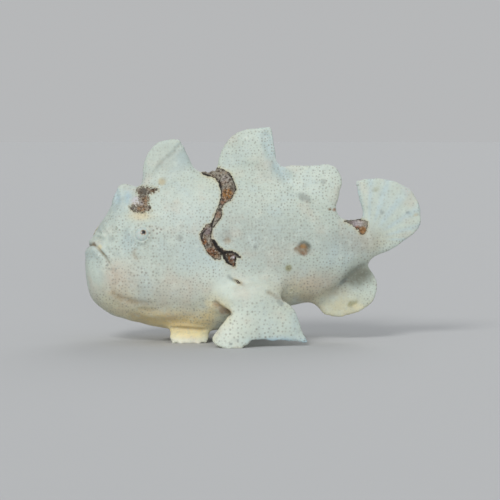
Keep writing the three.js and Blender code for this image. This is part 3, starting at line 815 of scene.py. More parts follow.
LEFT_MARKS = Markings(
    side=Side.LEFT,
    crusts=(
        ((-18.9, 62.9, 0.5), (-16.2, 62.8, 1.2), (-13.5, 63, 2), (-10.8, 61, 2.7),
         (-9.3, 57.4, 2.9), (-9.9, 54.9, 2.2), (-11.6, 52.4, 1.1), (-12.5, 50.4, 0.5)),
        ((-12.6, 49.6, 1), (-13.1, 47.8, 1.4), (-14, 46, 1), (-15.2, 44.2, 0.9)),
        ((-16.6, 43.2, 1.5), (-17.7, 40.7, 2), (-16.9, 38.1, 1.8), (-15.4, 35.8, 2.2),
         (-13.6, 33.7, 1.8), (-12.6, 32.3, 0.7)),
        ((-15, 38.4, 0.9), (-13.4, 36.2, 0.9), (-11.4, 34.6, 0.8), (-8.7, 32.6, 2.4),
         (-7.4, 29.9, 0.8)),
        ((-8.9, 34.2, 0.8), (-6.4, 33.4, 0.8), (-4.9, 32.6, 0.3)),
        ((-42, 56.5, 1.4), (-40.2, 56.3, 1.7), (-38.2, 56.5, 1), (-36, 56.9, 0.5)),
        ((-40.8, 55, 1.8), (-40.7, 53.3, 1.7), (-40.4, 51.5, 1.6)),
        ((-45, 50.5, 0.9), (-43, 50.2, 1.4), (-41, 50.1, 1.6), (-39, 50.3, 1.1)),
        ((34.2, 45, 0.2), (36.4, 44.6, 0.8), (38.9, 43.9, 1.8), (41.1, 43.9, 1.6),
         (40.6, 41.7, 1.5)),
        ((-6.8, 24.4, 0.2), (-5.8, 23.6, 0.45), (-5, 23.1, 0.2)),
    ),
    crust_stains_and_glints=Spot.each(
        (CRUST_AMBER, -9.6, 55.4, 2.2, 0.95), (CRUST_RUST, -11.2, 52.6, 1.2, 0.6),
        (CRUST_BLACK, -7.6, 57.6, 1.1, 0.5), (CRUST_PALE, -10.4, 60.6, 1.6, 0.25),
        (CRUST_BLACK, -12.3, 58.6, 0.7, 0.9, 3, -80), (CRUST_RUST, -13.2, 48, 1.3, 0.45),
        (CRUST_PURPLE, -16.9, 42.2, 1.5, 0.6), (CRUST_RUST, -18.2, 38.2, 1.2, 0.85),
        (CRUST_RUST, -15.6, 34.4, 1.7, 0.85, 1.3), (CRUST_AMBER, -13.6, 33.4, 1.3, 0.5),
        (CRUST_BLACK, -15.3, 40.6, 0.7, 0.95, 2.4, -80), (CRUST_BLACK, -14, 37.4, 0.9, 1, 2.4, -62),
        (CRUST_BLACK, -11.9, 34.9, 0.9, 1, 2.2, -35), (CRUST_BLACK, -8.6, 32.6, 2.3, 0.9),
        (CRUST_RUST, -8, 32.3, 1.25, 0.8), (CRUST_PURPLE, -7.8, 32.4, 0.9, 0.8),
        # (-7.6, 32.6) CRUST_PALE: painted glint in the ring of the lower crust.
        (CRUST_PALE, -7.6, 32.6, 0.65, 1), (CRUST_RUST, -7.2, 30, 0.8, 0.8),
        (CRUST_BLACK, -41, 56.2, 1.4, 0.6), (CRUST_BLACK, -36.6, 56.6, 1.2, 0.4),
        (CRUST_PALE, -41.6, 52, 1, 0.5), (CRUST_AMBER, -37.6, 56.3, 1, 0.6),
        (CRUST_AMBER, -40, 53.2, 1.5, 0.55), (CRUST_BLACK, -44.2, 50.2, 1, 0.5),
        (CRUST_AMBER, -41.6, 49.8, 1.6, 0.6), (CRUST_PURPLE, 37.4, 44, 1.6, 0.6),
        # (39, 44.2) CRUST_PALE: painted highlight on the crust at the tail's root.
        (CRUST_PALE, 39, 44.2, 1.3, 0.5, 1.5), (CRUST_AMBER, 40.8, 41.6, 1.5, 0.9),
        (CRUST_RUST, 38.8, 42.4, 1, 0.7),
    ),
    spots=Spot.each(
        (SPOT_BROWN, 28.5, 49.4, 0.5, 0.9, 1.3), (CRUST_RUST, 30.2, 49.2, 0.6, 0.85, 1.3),
        (OLIVE_GREY, 18.6, 35.7, 2.5, 0.85, 1.1), (OLIVE_GREY, 19.4, 36.9, 1, 0.7, 2, -30),
        (SPOT_BROWN, 17.9, 35.2, 1.9, 1, 1.2, 10), (AMBER, 18.4, 36.3, 0.8, 0.6, 1.3),
        (SPOT_BROWN, 15.8, 35.2, 0.9, 0.95), (BROWN, 18.8, 33.6, 0.9, 0.9, 1.3),
        (OLIVE, 12.9, 28.4, 1.3, 0.8), (STONE_GREY, 19, 53.8, 1.6, 0.55, 1.7, -32),
        (STONE_GREY, 26.2, 59.7, 1.1, 0.45), (UMBER, -9.6, 38.7, 1.3, 0.7),
        (STONE_GREY, -10.4, 40.4, 2.4, 0.4), (STONE_GREY, 0.7, 36.3, 0.7, 0.7),
        (OCHRE, -34.1, 59.8, 1.5, 0.55), (STONE_GREY, -27.4, 39.6, 1.1, 0.6, 1.3, -20),
        (OLIVE, 45.3, 56.7, 0.9, 0.35, 2), (OLIVE, 55.6, 55.2, 1, 0.5),
        (DARK_GREY, 58, 47.8, 0.7, 1, 1.4, -15), (OCHRE, 60.6, 47.5, 0.9, 0.7),
        (STONE_GREY, 47.9, 48.3, 0.6, 0.7, 1.8, -60), (DARK_GREY, 33.6, 22.4, 0.9, 0.45, 2.2, 42),
        (OLIVE, 37.2, 14, 1.2, 0.7, 1.8, 20), (CREAM, 39.4, 12.8, 1.2, 0.7, 2),
        (STONE_GREY, 9.8, 16, 0.9, 0.55, 1.7, -35), (LAVENDER, -43.5, 52.8, 1.8, 0.6),
        (DARK_GREY, -8.4, 1.6, 0.5, 0.6), (DARK_GREY, -5.8, 2.9, 0.5, 0.6),
        # (-9.4, 12.6) BROWN: painted shade in the armpit's corner.
        (AMBER, -11.4, 12.4, 1.2, 0.8, 1.3, -35), (BROWN, -9.4, 12.6, 0.6, 0.5, 1.5, -35),
        (BROWN, -59.2, 36.8, 0.8, 0.55), (CREAM, -57, 35.8, 0.9, 0.7),
        (STONE_GREY, -52.6, 38.8, 1.3, 0.35), (STONE_GREY, -57.6, 41.8, 1, 0.35),
        (DARK_GREY, -54, 29.4, 0.5, 0.45), (STONE_GREY, -26.6, 43.8, 0.8, 0.3),
    ),
    tints=Tint.each(
        # Painted light: the BRIGHT tints on the back, the spines and the tail, here and at (0, 74),
        # (25, 62), (50, 54), (22, 61) and (8, 56), light the top of the body as from above.
        (-22, 52, 12, 10, BRIGHT, 0.6), (-33, 66, 9, 10, BRIGHT, 0.6), (-20, 35, 9, 8, BLUISH, 0.6),
        # (-12, 24) and (-2, 22) BRIGHT: painted highlight on the arm.
        (-25, 48, 10, 6, BLUISH, 0.3), (-12, 24, 8, 6, BRIGHT, 0.6), (-2, 22, 10, 7, BRIGHT, 0.5),
        (0, 74, 9, 7, BRIGHT, 0.4), (25, 62, 8, 5, BRIGHT, 0.5), (4, 38, 10, 12, GREYISH, 0.45),
        (20, 40, 11, 6, GREYISH, 0.35), (32, 36, 7, 5, BLUISH, 0.4), (45, 36, 6, 5, CREAM, 0.35),
        # (20, 22) PINKISH: painted shade, pinkish, on the flank behind and below the arm.
        (50, 54, 9, 6, BRIGHT, 0.4), (20, 22, 11, 5, PINKISH, 0.65), (16, 19, 10, 5, CREAM, 0.45),
        # (41.4, 25.2) to (38, 22.6), SHADE_OLIVE and OLIVE_GREY: painted shadow of the body on the
        # root of the anal fin.
        (33, 12, 10, 5, CREAM, 0.45), (41.4, 25.2, 4.8, 3, SHADE_OLIVE, 0.95),
        (40.6, 25.6, 3.8, 2.4, OLIVE_GREY, 0.5), (38.4, 22.8, 3.4, 2.2, OLIVE_GREY, 0.5),
        (38, 22.6, 4.4, 2.8, SHADE_OLIVE, 0.8), (33, 13, 9, 4, OCHRE, 0.25),
        (31, 18.2, 5, 2, UMBER, 0.35), (-52, 24, 3.4, 6, PINKISH, 0.7),
        # (-10, 41) GREYISH, with the GREYISH tints at (4, 38), (20, 40) and (-34, 34): painted
        # shade over the middle of the flank and the cheek.
        (-52, 15, 8, 5, CREAM, 0.35), (-10, 41, 26, 12, GREYISH, 0.4),
        (-34, 34, 12, 10, GREYISH, 0.3), (-34, 66, 10, 9, GREYISH, 0.25),
        (-26.4, 68.5, 3, 4, BLUE, 0.4), (-42.6, 60.5, 2.2, 3.8, BLUE, 0.4),
        # (-46.6, 54.2) BLUE: painted bluish highlight on the second spine's rear edge; (10, 66)
        # BLUE: painted shade where the front dorsal fin bends.
        (-46.6, 54.2, 1.5, 3, BLUE, 0.75), (10, 66, 3, 4, BLUE, 0.2), (6, 62, 8, 4, GREYISH, 0.3),
        (-6, 44, 5, 8, GREYISH, 0.3), (36, 38, 8, 5, STONE_GREY, 0.35),
        (-47, 24, 6, 7, PINKISH, 0.5), (-56, 20, 6, 8, GREYISH, 0.25), (-59, 34, 4, 4, BLUISH, 0.4),
        (-46, 38, 4, 5, BLUE, 0.18), (-50.5, 52, 3.6, 6, BLUISH, 0.6),
        (-52.6, 51.4, 2.8, 6, SHADE_BLUE, 0.3), (-57.2, 43.6, 4, 4, GREYISH, 0.4),
        (-60.4, 32.6, 3.4, 3, SHADE_BLUE, 0.25), (-41.8, 47.4, 4.2, 1.5, WARM, 0.6),
        # (-26, 7), (-15, 11) and (-38, 10) GOLD and (-12, 12.5) FOOT_CREAM: painted light, lifting
        # the shade on the underside above the pelvic fins and in the armpit, in a warm colour.
        (-30, 20, 12, 6, PINKISH, 0.4), (-26, 7, 14, 4.5, GOLD, 0.85), (-15, 11, 4, 6, GOLD, 0.8),
        (-12, 12.5, 3.6, 4, FOOT_CREAM, 0.7), (-24, 3.4, 8, 2.4, FOOT_CREAM, 0.95),
        # (2, 10) BRIGHT: painted light on the hand.
        (-24, 0.2, 9, 1.7, TOE_WHITE, 1), (-38, 10, 12, 3, GOLD, 0.4), (2, 10, 13, 7, BRIGHT, 0.5),
        (22, 61, 11, 8, BRIGHT, 0.5), (8, 56, 12, 6, BRIGHT, 0.35), (41, 37.5, 6, 5, GREYISH, 0.55),
        (39, 37, 7, 6, STONE_GREY, 0.2), (-50, 16, 8, 6, OCHRE, 0.2),
        (-31, 66, 9, 10, GREYISH, 0.35), (-6, 71, 8, 9, GREYISH, 0.25),
        (51, 50, 9, 8, GREYISH, 0.25), (3, 30, 9, 6, GREYISH, 0.3), (42, 37, 6, 5, PINKISH, 0.25),
        (-14, 62, 6, 3, CREAM, 0.4), (8, 2.2, 9, 1.3, HEM_BLUE, 0.8),
        (18.6, 1.4, 2.4, 1.4, HEM_BLUE, 0.6), (-12, 4, 4, 4, BLUISH, 0.4),
        # (15.6, 8) BLUISH: painted shade along the hand's rear edge.
        (-10, 5, 5, 5, BRIGHT, 0.6), (15.6, 8, 2, 7, BLUISH, 0.5),
    ),
    inks=(
        ((-15.2, 43.6, 0.2), (-15.4, 41, 0.35), (-14.9, 39, 0.5), (-13.9, 37, 0.6),
         (-12.4, 35.2, 0.55), (-11, 34.2, 0.6), (-9.4, 34.6, 0.55), (-7.6, 34.6, 0.45),
         (-6.2, 33.6, 0.4), (-4.8, 32.4, 0.25)),
        ((-10.9, 33.8, 0.45), (-10.6, 32, 0.55), (-9.6, 30.6, 0.55), (-8.2, 29.8, 0.4)),
        ((-6.6, 32.4, 0.4), (-6.4, 31, 0.35), (-7, 29.8, 0.3)),
        ((-17.4, 42.8, 0.2), (-18.9, 41.2, 0.35), (-19, 39.6, 0.3), (-18.2, 38, 0.2)),
        ((-15.5, 43.8, 0.35), (-14.9, 46, 0.35), (-14.2, 48, 0.25)),
        ((-19.4, 62.9, 0.25), (-17.2, 62.2, 0.4), (-15.4, 61.4, 0.35), (-13.6, 60.8, 0.2)),
        ((-12.6, 60.4, 0.2), (-12.5, 58, 0.5), (-12, 55.4, 0.45), (-12.6, 53, 0.4), (-13, 51, 0.4)),
        ((-9.4, 62.6, 0.2), (-7.6, 60.8, 0.4), (-6.6, 58.4, 0.4), (-6.4, 56.4, 0.5),
         (-7.2, 55.4, 0.2)),
        ((34.4, 45, 0.2), (37.6, 45.6, 0.35), (40.8, 45.7, 0.3)),
    ),
    folds=SHARED_FOLDS,
)

RIGHT_MARKS = Markings(
    side=Side.RIGHT,
    crusts=(
        ((-16, 62.6, 0.6), (-12.6, 62, 1.6), (-9.6, 59.4, 2), (-9, 56.4, 1.6), (-9.8, 54, 0.6)),
        ((-3, 40, 0.6), (-4.6, 37.4, 1.7), (-3.4, 34.6, 1.3), (-1.2, 33, 0.5)),
        ((-30, 50.4, 0.5), (-28, 49.4, 1.2), (-26.6, 47.4, 0.7)),
        ((20, 40.4, 0.4), (22, 39, 1.3), (24, 38.6, 0.6)),
        ((36.6, 44.6, 0.6), (39.2, 43.8, 1.4), (41, 43.2, 1.2)),
    ),
    crust_stains_and_glints=Spot.each(
        (CRUST_AMBER, -9.6, 56.4, 1.6, 0.7), (CRUST_RUST, -4.4, 36, 1.4, 0.8),
        (CRUST_AMBER, -28, 49, 1.2, 0.6), (CRUST_RUST, 22.6, 39, 1, 0.7),
        (CRUST_AMBER, 40.6, 43, 1.4, 0.8), (CRUST_BLACK, -3.4, 38.4, 0.7, 0.8, 2, 40),
    ),
    spots=Spot.each(
        (STONE_GREY, 8.3, 46.3, 2.2, 0.7), (BROWN, 8, 46, 1.7, 0.8), (OLIVE, 14, 30, 1.2, 0.75),
        (STONE_GREY, -36, 33, 1.2, 0.5, 1.5, 25), (OLIVE, -22, 27, 1, 0.6),
        (STONE_GREY, 26, 56, 1.5, 0.5, 1.5, -25), (STONE_GREY, -2, 70, 1.5, 0.5),
        (DARK_GREY, 52, 50, 1, 0.7, 1.5), (OLIVE, 38, 18, 1.3, 0.6, 1.5),
        (STONE_GREY, 2, 8, 1.2, 0.45), (STONE_GREY, -50, 22, 1.1, 0.45),
        (BROWN, -59.2, 36.8, 0.8, 0.55), (CREAM, -57, 35.8, 0.9, 0.7),
    ),
    tints=LEFT_MARKS.tints,
    folds=SHARED_FOLDS,
)

# Areas that change the dots, the crusts' edges and the clouds
MASKS = {
    "plain": Area.each(
        (-9, 21.5, 5.2, 1, 1.5), (-1, 22, 4.6, 0.9, 1.7), (-24, 3, 4, 1, 2), (-57, 38, 5, 0.9),
        (-57.5, 24, 5, 0.75, 1), (-48, 54, 4, 0.7), (-40, 7.5, 4, 0.8, 3), (33, 13, 6, 0.7, 1.6),
        (-32, 66, 9, 0.55, 1.1), (-27, 57, 7, 0.5, 1.5), (50, 50, 12, 0.65),
        (-10, 40, 40, 0.15, 1.5),
    ),
    "sparse": Area.each(
        (1, 8, 11, 1, 1.5), (52, 50, 10, 1, 1.2), (-32, 70, 6, 0.8, 1.3),
    ),
    "bold": Area.each(
        (-37, 40.4, 4.6, 1, 1.1, 60), (-35, 33, 6, 0.6), (-39, 25, 6, 0.8, 1.3), (8, 40, 8, 0.5, 2),
    ),
    "gaps": Area.each(
        (-41, 53.4, 6.5, 1), (38, 43, 4, 0.2),
    ),
    "calm": Area.each(
        (38.8, 43.6, 5, 1), (39.4, 24.6, 4.2, 1, 1.6, 35),
    ),
}


@dataclass(frozen=True)
class Fillet:
    """Two forms whose meeting line is rounded, and how far the rounding reaches."""

    one: str
    two: str
    reach: float


@dataclass
class Mouth:
    """The upturned mouth with its two lips, in side view from the front down to its corner."""

    line: Rows = ((-62.4, 35.2), (-61.0, 36.2), (-59.4, 36.6), (-57.8, 35.6), (-56.2, 34.0),
                  (-54.6, 32.2), (-53.2, 29.8), (-52.5, 27.6))
    cleft: float = 0.75
    cleft_width: float = 0.34
    upper_lip: float = 0.35
    lower_lip: float = 0.6
    upper_place: tuple[float, float] = (1.1, 0.8)
    lower_place: tuple[float, float] = (-1.6, 1.2)
    pinch: float = 0.55
    pinch_place: tuple[float, float] = (0.42, 0.07)
    puff: float = 0.3
    puff_count: float = 24.0
    brown: float = 0.8
    brown_reach: float = 1.3
    corner_fade: float = 0.4
    lower_thins_by: float = 0.6

    def move(self, xz: np.ndarray) -> tuple[np.ndarray, np.ndarray]:
        """Work out the lips and the cleft between them.

        Args:
            xz: points in side view.

        Returns:
            How far the skin moves out, and how strongly it takes the cleft's colour.
        """
        away, share, _ = line_distance(xz, self.line)
        fade = smooth_step(0, self.corner_fade, 1 - share)
        (upper, upper_width), (lower, lower_width) = self.upper_place, self.lower_place
        above = self.upper_lip * bell(away - upper, upper_width)
        puffs = 1 + self.puff * np.sin(self.puff_count * share)
        thinner = 1 - self.lower_thins_by * share
        below = self.lower_lip * puffs * bell(away - lower, lower_width) * thinner
        pinched = 1 - self.pinch * bell(share - self.pinch_place[0], self.pinch_place[1])
        cleft = self.cleft * bell(away, self.cleft_width) * pinched
        brown = self.brown * pinched * bell(away, self.brown_reach * self.cleft_width)
        return (above + below - cleft) * fade, brown * fade


@dataclass
class Pore:
    """A raised ring with an open pore, such as a nostril."""

    RIM_WIDTH = 0.45
    HOLE_WIDTH = 0.55

    x: float
    z: float
    radius: float
    rim: float
    depth: float

    def move(self, away: np.ndarray) -> np.ndarray:
        """Give how far the skin moves out, at distances from the pore's middle."""
        rim = self.rim * bell(away - self.radius, self.RIM_WIDTH * self.radius)
        return rim - self.depth * bell(away, self.HOLE_WIDTH * self.radius)


@dataclass
class EyeSocket:
    """The skin round an eye: a lid that stands up at the rim and dips behind the ball."""

    inner: float = 2.35
    crest: float = 2.95
    outer: float = 4.4
    lid: float = 0.3
    dip: float = 2.2
    groove: float = 0.15
    softness: float = 0.7
    rim: tuple[float, float] = (-0.45, 0.1)
    depth: float = 2.5
    reach: float = 7.0

    def move(self, away: np.ndarray) -> np.ndarray:
        """Shape the lid and the hollow behind it.

        Args:
            away: distances from the eye's axis.

        Returns:
            How far the skin moves out.
        """
        rise = self.lid * bell(away - self.crest, self.softness)
        ring = -self.groove * bell(away - self.outer, self.softness)
        start, end = (self.inner + step for step in self.rim)
        hollow = (self.dip + self.lid) * (1 - smooth_step(start, end, away))
        return rise + ring - hollow


MIDDLE_FINS = (
    Fin("second_spine", ((-54.6, 45), (-43.8, 52)),
        ((-54.9, 48.3), (-53.3, 52.8), (-51.4, 57), (-49.4, 58.8), (-46.4, 59.2), (-44.4, 58.6),
         (-43.2, 56.2)),
        (5.2, 2.6)),
    Fin("third_spine", ((-43, 52), (-18.4, 57)),
        ((-42, 58), (-41.8, 63.6), (-39.7, 69.8), (-36.1, 74), (-32.1, 75.2), (-27.8, 75.1),
         (-24.9, 70.1), (-21.9, 65.4), (-18.2, 62.9)),
        (8.4, 3)),
    Fin("dorsal_front", ((-13.6, 58), (11.4, 55)),
        ((-14.6, 64.3), (-13.2, 67.9), (-10.9, 73.3), (-7.7, 77), (-3.6, 79), (0.8, 79.7),
         (4, 79.9), (6.5, 79.9), (7.6, 74.1), (9, 69), (11.7, 66.1)),
        (5.6, 1.3), rays=6, ridge=0.22, wave=0.9),
    Fin("dorsal_rear", ((10.6, 54.9), (21.5, 51), (31.6, 44.2)),
        ((10.2, 66.6), (17.4, 65.7), (23.1, 65.8), (27.6, 66.1), (31.1, 64.8), (33.2, 60.3),
         (32.6, 55), (31.6, 50.6), (32, 47.6)),
        (4.2, 1.2), rays=7, ridge=0.22, wave=-0.45),
    Fin("anal", ((20, 20), (27, 22), (34, 28), (40.2, 34.2)),
        ((19.4, 14.2), (23.4, 12.4), (26.4, 9.9), (30.2, 8.8), (34.7, 9.1), (39.4, 10.7),
         (43.3, 13), (46, 16.8), (46.5, 21.4), (45.4, 25.6), (43.2, 28.8)),
        (3.2, 1.1), rays=7, ridge=0.24),
    Fin("caudal", ((41.2, 43.6), (42.6, 37.2), (41.2, 30.6)),
        ((37.9, 60.3), (42, 60.7), (46.7, 61), (51.6, 60.3), (56, 58.5), (59.8, 55.7), (62.1, 51),
         (62.9, 46.4), (62, 42.3), (59.3, 39.5), (55.7, 36.8), (52, 33.6), (47, 30.8)),
        (4.4, 1.1), rays=9, ridge=0.26),
)


def paired_forms(side: Side) -> tuple[Form, ...]:
    """Give the arm, the hand and the pelvic fin of one side.

    Args:
        side: which side.

    Returns:
        The three forms, named with the side.
    """
    tag = side.name.lower()
    tuck = 1.5 if side is Side.RIGHT else 0.0
    arm = Limb(
        f"arm_{tag}",
        path=((-12.4, -14.6, 18.2), (-9.0, -17.6, 17.4), (-3.6, -19.0, 17.6), (2.4, -18.2, 19.2),
              (7.6, -15.2, 21.4), (11.4, -11.4, 22.6)),
        radius=(3.6, 5.0, 5.2, 4.8, 4.2, 3.4),
    )
    hand = Fin(
        f"hand_{tag}",
        ((-6.8, -19.8, 14.6), (-1.6, -21.6, 18.0), (6.2, -19.6, 20.4)),
        ((-15.6, -24.2, 3.2), (-13.4, -26.6, 0.6), (-9.4, -27.8, -0.5), (-5.2, -27.4, -0.5),
         (-2.4, -26.0, 0.9), (-0.2, -24.8, 2.4), (4.2, -22.9, 2.3), (9.0, -21.3, 2.1),
         (14.2, -19.6, 1.6), (19.6 - tuck, -18.2, 1.1), (17.4 - tuck, -18.0, 6.6),
         (15.4 - tuck, -17.6, 12.4), (11.2 - tuck, -16.8, 17.2)),
        (4.0, 1.2), rays=10, ridge=0.24, fringe=0.03, columns=160,
    )
    pelvic = Fin(
        f"pelvic_{tag}",
        ((-32.4, -5.2, 8.4), (-24.2, -5.8, 8.2), (-15.8, -5.2, 8.4)),
        ((-31.4, -8.2, 2.8), (-30.6, -9.8, 0.3), (-27.6, -10.8, -0.5), (-23.8, -11.1, -0.5),
         (-20.0, -10.6, -0.4), (-16.9, -9.6, 0.2), (-16.2, -8.0, 2.8)),
        (4.2, 1.3), rays=7, ridge=0.24, fringe=0.14,
    )
    for form in (arm, hand, pelvic):
        form.side = side
    return arm, hand, pelvic


@dataclass(frozen=True)
class FineReach:
    """How far round each feature the skin gets smaller faces, in millimetres."""

    mouth: float = 2.6
    crust: float = 0.8
    eye: float = 6.0
    pore_radii: float = 2.4
    past_middle: float = 1.0


@dataclass(frozen=True)
class CrustRelief:
    """How the crusts stand up from the skin: a slab with warts and beads, in millimetres."""

    slab: float = 0.55
    wart: float = 0.5
    wart_size: float = 1.3
    bead: float = 0.25
    bead_size: float = 0.8
    roughness: tuple[float, float, int] = (0.7, 2.1, 3)
    edge: tuple[float, float] = (-0.35, 0.5)
    margin: float = 0.5

    def height(self, points: np.ndarray, depth: np.ndarray) -> np.ndarray:
        """Give the height of the crusts over the skin.

        Args:
            points: the skin's points.
            depth: how deep each lies inside a crust.

        Returns:
            The height, 0 outside the crusts.
        """
        height = np.zeros(len(points))
        for i in np.flatnonzero(depth > -self.margin):
            place = Vector(points[i])
            warts = noise.fractal(place / self.wart_size, *self.roughness)
            beads = noise.cell(place / self.bead_size) - 0.5
            height[i] = self.slab + self.wart * warts + self.bead * beads
        return height * smooth_step(*self.edge, depth)


@dataclass(frozen=True)
class Unevenness:
    """The lumps of flesh, flatter on thin fins, and the wrinkles of the snout, in millimetres."""

    lump: float = 0.3
    lump_size: float = 10.0
    lump_roughness: tuple[float, float, int] = (0.9, 2.2, 4)
    wrinkle: float = 0.28
    wrinkle_size: float = 3.2
    wrinkle_roughness: tuple[float, float, int] = (0.8, 2.1, 2)
    snout_x: tuple[float, float] = (-47.0, -54.0)
    snout_z: tuple[float, float] = (26.0, 34.0)
    fin_half: float = 2.2
    floor_fins: tuple[float, float] = (2.0, 7.0)
    fin_calm: float = 0.6

    def height(self, points: np.ndarray) -> np.ndarray:
        """Give how far the skin stands out.

        Args:
            points: the skin's points.

        Returns:
            The height, below 0 in hollows.
        """
        places = (Vector(point / self.lump_size) for point in points)
        lumps = np.array([noise.fractal(place, *self.lump_roughness) for place in places])
        on_floor = 1 - smooth_step(*self.floor_fins, points[:, 2])
        thin = np.maximum(bell(points[:, 1], self.fin_half), on_floor)
        snout = smooth_step(*self.snout_x, points[:, 0]) * smooth_step(*self.snout_z, points[:, 2])
        wrinkles = np.zeros(len(points))
        for i in np.flatnonzero(snout > 0.01):
            place = Vector(points[i] / self.wrinkle_size)
            wrinkles[i] = noise.fractal(place, *self.wrinkle_roughness)
        return self.lump * lumps * (1 - self.fin_calm * thin) + self.wrinkle * snout * wrinkles


@dataclass(frozen=True)
class TailStreaks:
    """Bluish streaks between the rays of the tail fin, which fan out from its root."""

    hub: tuple[float, float] = (43.0, 38.0)
    count: float = 21.0
    strength: float = 0.8
    reach: tuple[float, float] = (5.0, 10.0)
    heights: tuple[float, float] = (34.0, 38.0)
    from_x: float = 36.0
    waver: float = 1.2
    waver_count: float = 3.7

    def cover(self, xz: np.ndarray) -> np.ndarray:
        """Lay the streaks.

        Args:
            xz: the skin's points in side view.

        Returns:
            How strongly each point takes their colour.
        """
        across, up = xz[:, 0] - self.hub[0], xz[:, 1] - self.hub[1]
        angle, reach = np.arctan2(up, across), np.hypot(across, up)
        wavy = self.count * angle + self.waver * np.sin(self.waver_count * angle)
        streak = (0.5 + 0.5 * np.cos(wavy)) ** 2
        inside = (xz[:, 0] > self.from_x) * smooth_step(*self.heights, xz[:, 1])
        return self.strength * streak * smooth_step(*self.reach, reach) * inside


@dataclass
class Skin:
    """The one skin of the body, arms and fins, with its folds, lids, lips, crusts and markings."""

    voxel: float = 0.6
    quick_growth: float = 1.4
    body: Trunk = field(default_factory=Trunk)
    mouth: Mouth = field(default_factory=Mouth)
    socket: EyeSocket = field(default_factory=EyeSocket)
    fine: FineReach = field(default_factory=FineReach)
    streaks: TailStreaks = field(default_factory=TailStreaks)
    relief: CrustRelief = field(default_factory=CrustRelief)
    unevenness: Unevenness = field(default_factory=Unevenness)
    pores: tuple[Pore, ...] = (
        Pore(-56.4, 40.4, 0.8, 0.45, 0.7),
        Pore(-50.6, 42.6, 0.7, 0.4, 0.6),
        Pore(13.6, 19.6, 1.0, 0.25, 0.8),
    )
    markings: tuple[Markings, ...] = (LEFT_MARKS, RIGHT_MARKS)
    meeting_range: float = 12.0
    first_smoothing: int = 5
    fillet_smoothing: int = 76
    last_smoothing: int = 3
    facing_smoothing: int = 10
    shape_seam: float = 0.6
    colour_seam: float = 0.8
    # ochre on skin that faces down, low on the body: painted shade under the body, with the belly's
    # own warm colour
    underside_warmth_and_shade: float = 0.35
    low_facing: tuple[float, float] = (0.1, 0.9)
    low_heights: tuple[float, float] = (34.0, 10.0)
    flesh: tuple[str, ...] = (
        "lower_jaw", "head", "torso", "tail_stalk", "second_dorsal_spine", "third_dorsal_spine",
        "dorsal_fin_front", "dorsal_fin_rear", "anal_fin", "caudal_fin", "arm_left", "arm_right",
        "hand_fin_left", "hand_fin_right", "pelvic_fin_left", "pelvic_fin_right",
    )

    def fillets(self) -> list[Fillet]:
        """List the meeting lines that are rounded.

        Returns:
            The fillets, by the names of the forms.
        """
        found = [Fillet("body", fin.name, 3.0) for fin in MIDDLE_FINS]
        found.append(Fillet("dorsal_front", "dorsal_rear", 2.2))
        found.append(Fillet("body", "third_spine", 4.5))
        found.append(Fillet("body", "caudal", 5.0))
        for side in Side:
            tag = side.name.lower()
            found.append(Fillet("body", f"arm_{tag}", 5.0))
            found.append(Fillet(f"arm_{tag}", f"hand_{tag}", 3.5))
            found.append(Fillet("body", f"pelvic_{tag}", 2.5))
        return found

    def rough(self) -> tuple[bpy.types.Mesh, dict[str, BVHTree]]:
        """Join all forms of flesh into one closed mesh.

        Returns:
            The mesh, in metres, and a search tree of each form, in millimetres.
        """
        forms = [self.body, *MIDDLE_FINS, *paired_forms(Side.LEFT), *paired_forms(Side.RIGHT)]
        built = {form.name: form.build() for form in forms}
        trees = {name: BVHTree.FromBMesh(piece) for name, piece in built.items()}
        whole = joined(built.values())
        bmesh.ops.scale(whole, vec=(MM, MM, MM), verts=whole.verts)
        return self.remeshed(meshed("skin_forms", whole)), trees

    def remeshed(self, mesh: bpy.types.Mesh) -> bpy.types.Mesh:
        """Melt a mesh of crossing closed forms into one surface.

        Args:
            mesh: the mesh, which is removed.

        Returns:
            The new mesh.
        """
        maker = bpy.data.objects.new("skin_maker", mesh)
        bpy.context.scene.collection.objects.link(maker)
        melt = maker.modifiers.new("melt", "REMESH")
        melt.mode = "VOXEL"
        melt.voxel_size = self.voxel * MM * 1.0
        graph = bpy.context.evaluated_depsgraph_get()
        result = bpy.data.meshes.new_from_object(maker.evaluated_get(graph))
        bpy.data.objects.remove(maker)
        bpy.data.meshes.remove(mesh)
        return result

    def rounded(self, clay: Clay, trees: dict[str, BVHTree]) -> None:
        """Round the lines where the forms meet, and take the steps out of the rest.

        Args:
            clay: the skin.
            trees: a search tree of each form.
        """
        names = sorted({name for f in self.fillets() for name in (f.one, f.two)})
        away = {name: np.full(len(clay.points), self.meeting_range) for name in names}
        for i, point in enumerate(clay.points):
            for name in names:
                hit = trees[name].find_nearest(point, self.meeting_range)
                if hit[0] is not None:
                    away[name][i] = hit[3]
        weight, full = np.zeros(len(clay.points)), np.ones(len(clay.points))
        for fillet in self.fillets():
            near = np.maximum(away[fillet.one], away[fillet.two])
            weight = np.maximum(weight, bell(near, fillet.reach))
        clay.relax(full, self.first_smoothing, firm=True)
        clay.relax(weight, self.fillet_smoothing)
        clay.relax(full, self.last_smoothing, firm=True)

    def fine_zones(self, clay: Clay, eyes: dict[Side, tuple[Vector, Vector]]) -> np.ndarray:
        """Find the points where the skin needs smaller faces.

        Args:
            clay: the skin.
            eyes: the middle and the gaze of each eye.

        Returns:
            True for each such point.
        """
        xz = clay.points[:, [0, 2]]
        found = np.abs(line_distance(xz, self.mouth.line)[0]) < self.fine.mouth
        for marks in self.markings:
            here = clay.points[:, 1] * marks.side.value > -self.fine.past_middle
            found |= here & (marks.depth(marks.crusts, xz) > -self.fine.crust)
            eye = np.array(eyes[marks.side][0])
            found |= np.linalg.norm(clay.points - eye, axis=1) < self.fine.eye
            for pore in self.pores:
                away = np.linalg.norm(clay.points - self.pore_place(pore, marks.side), axis=1)
                found |= away < self.fine.pore_radii * pore.radius
        return found

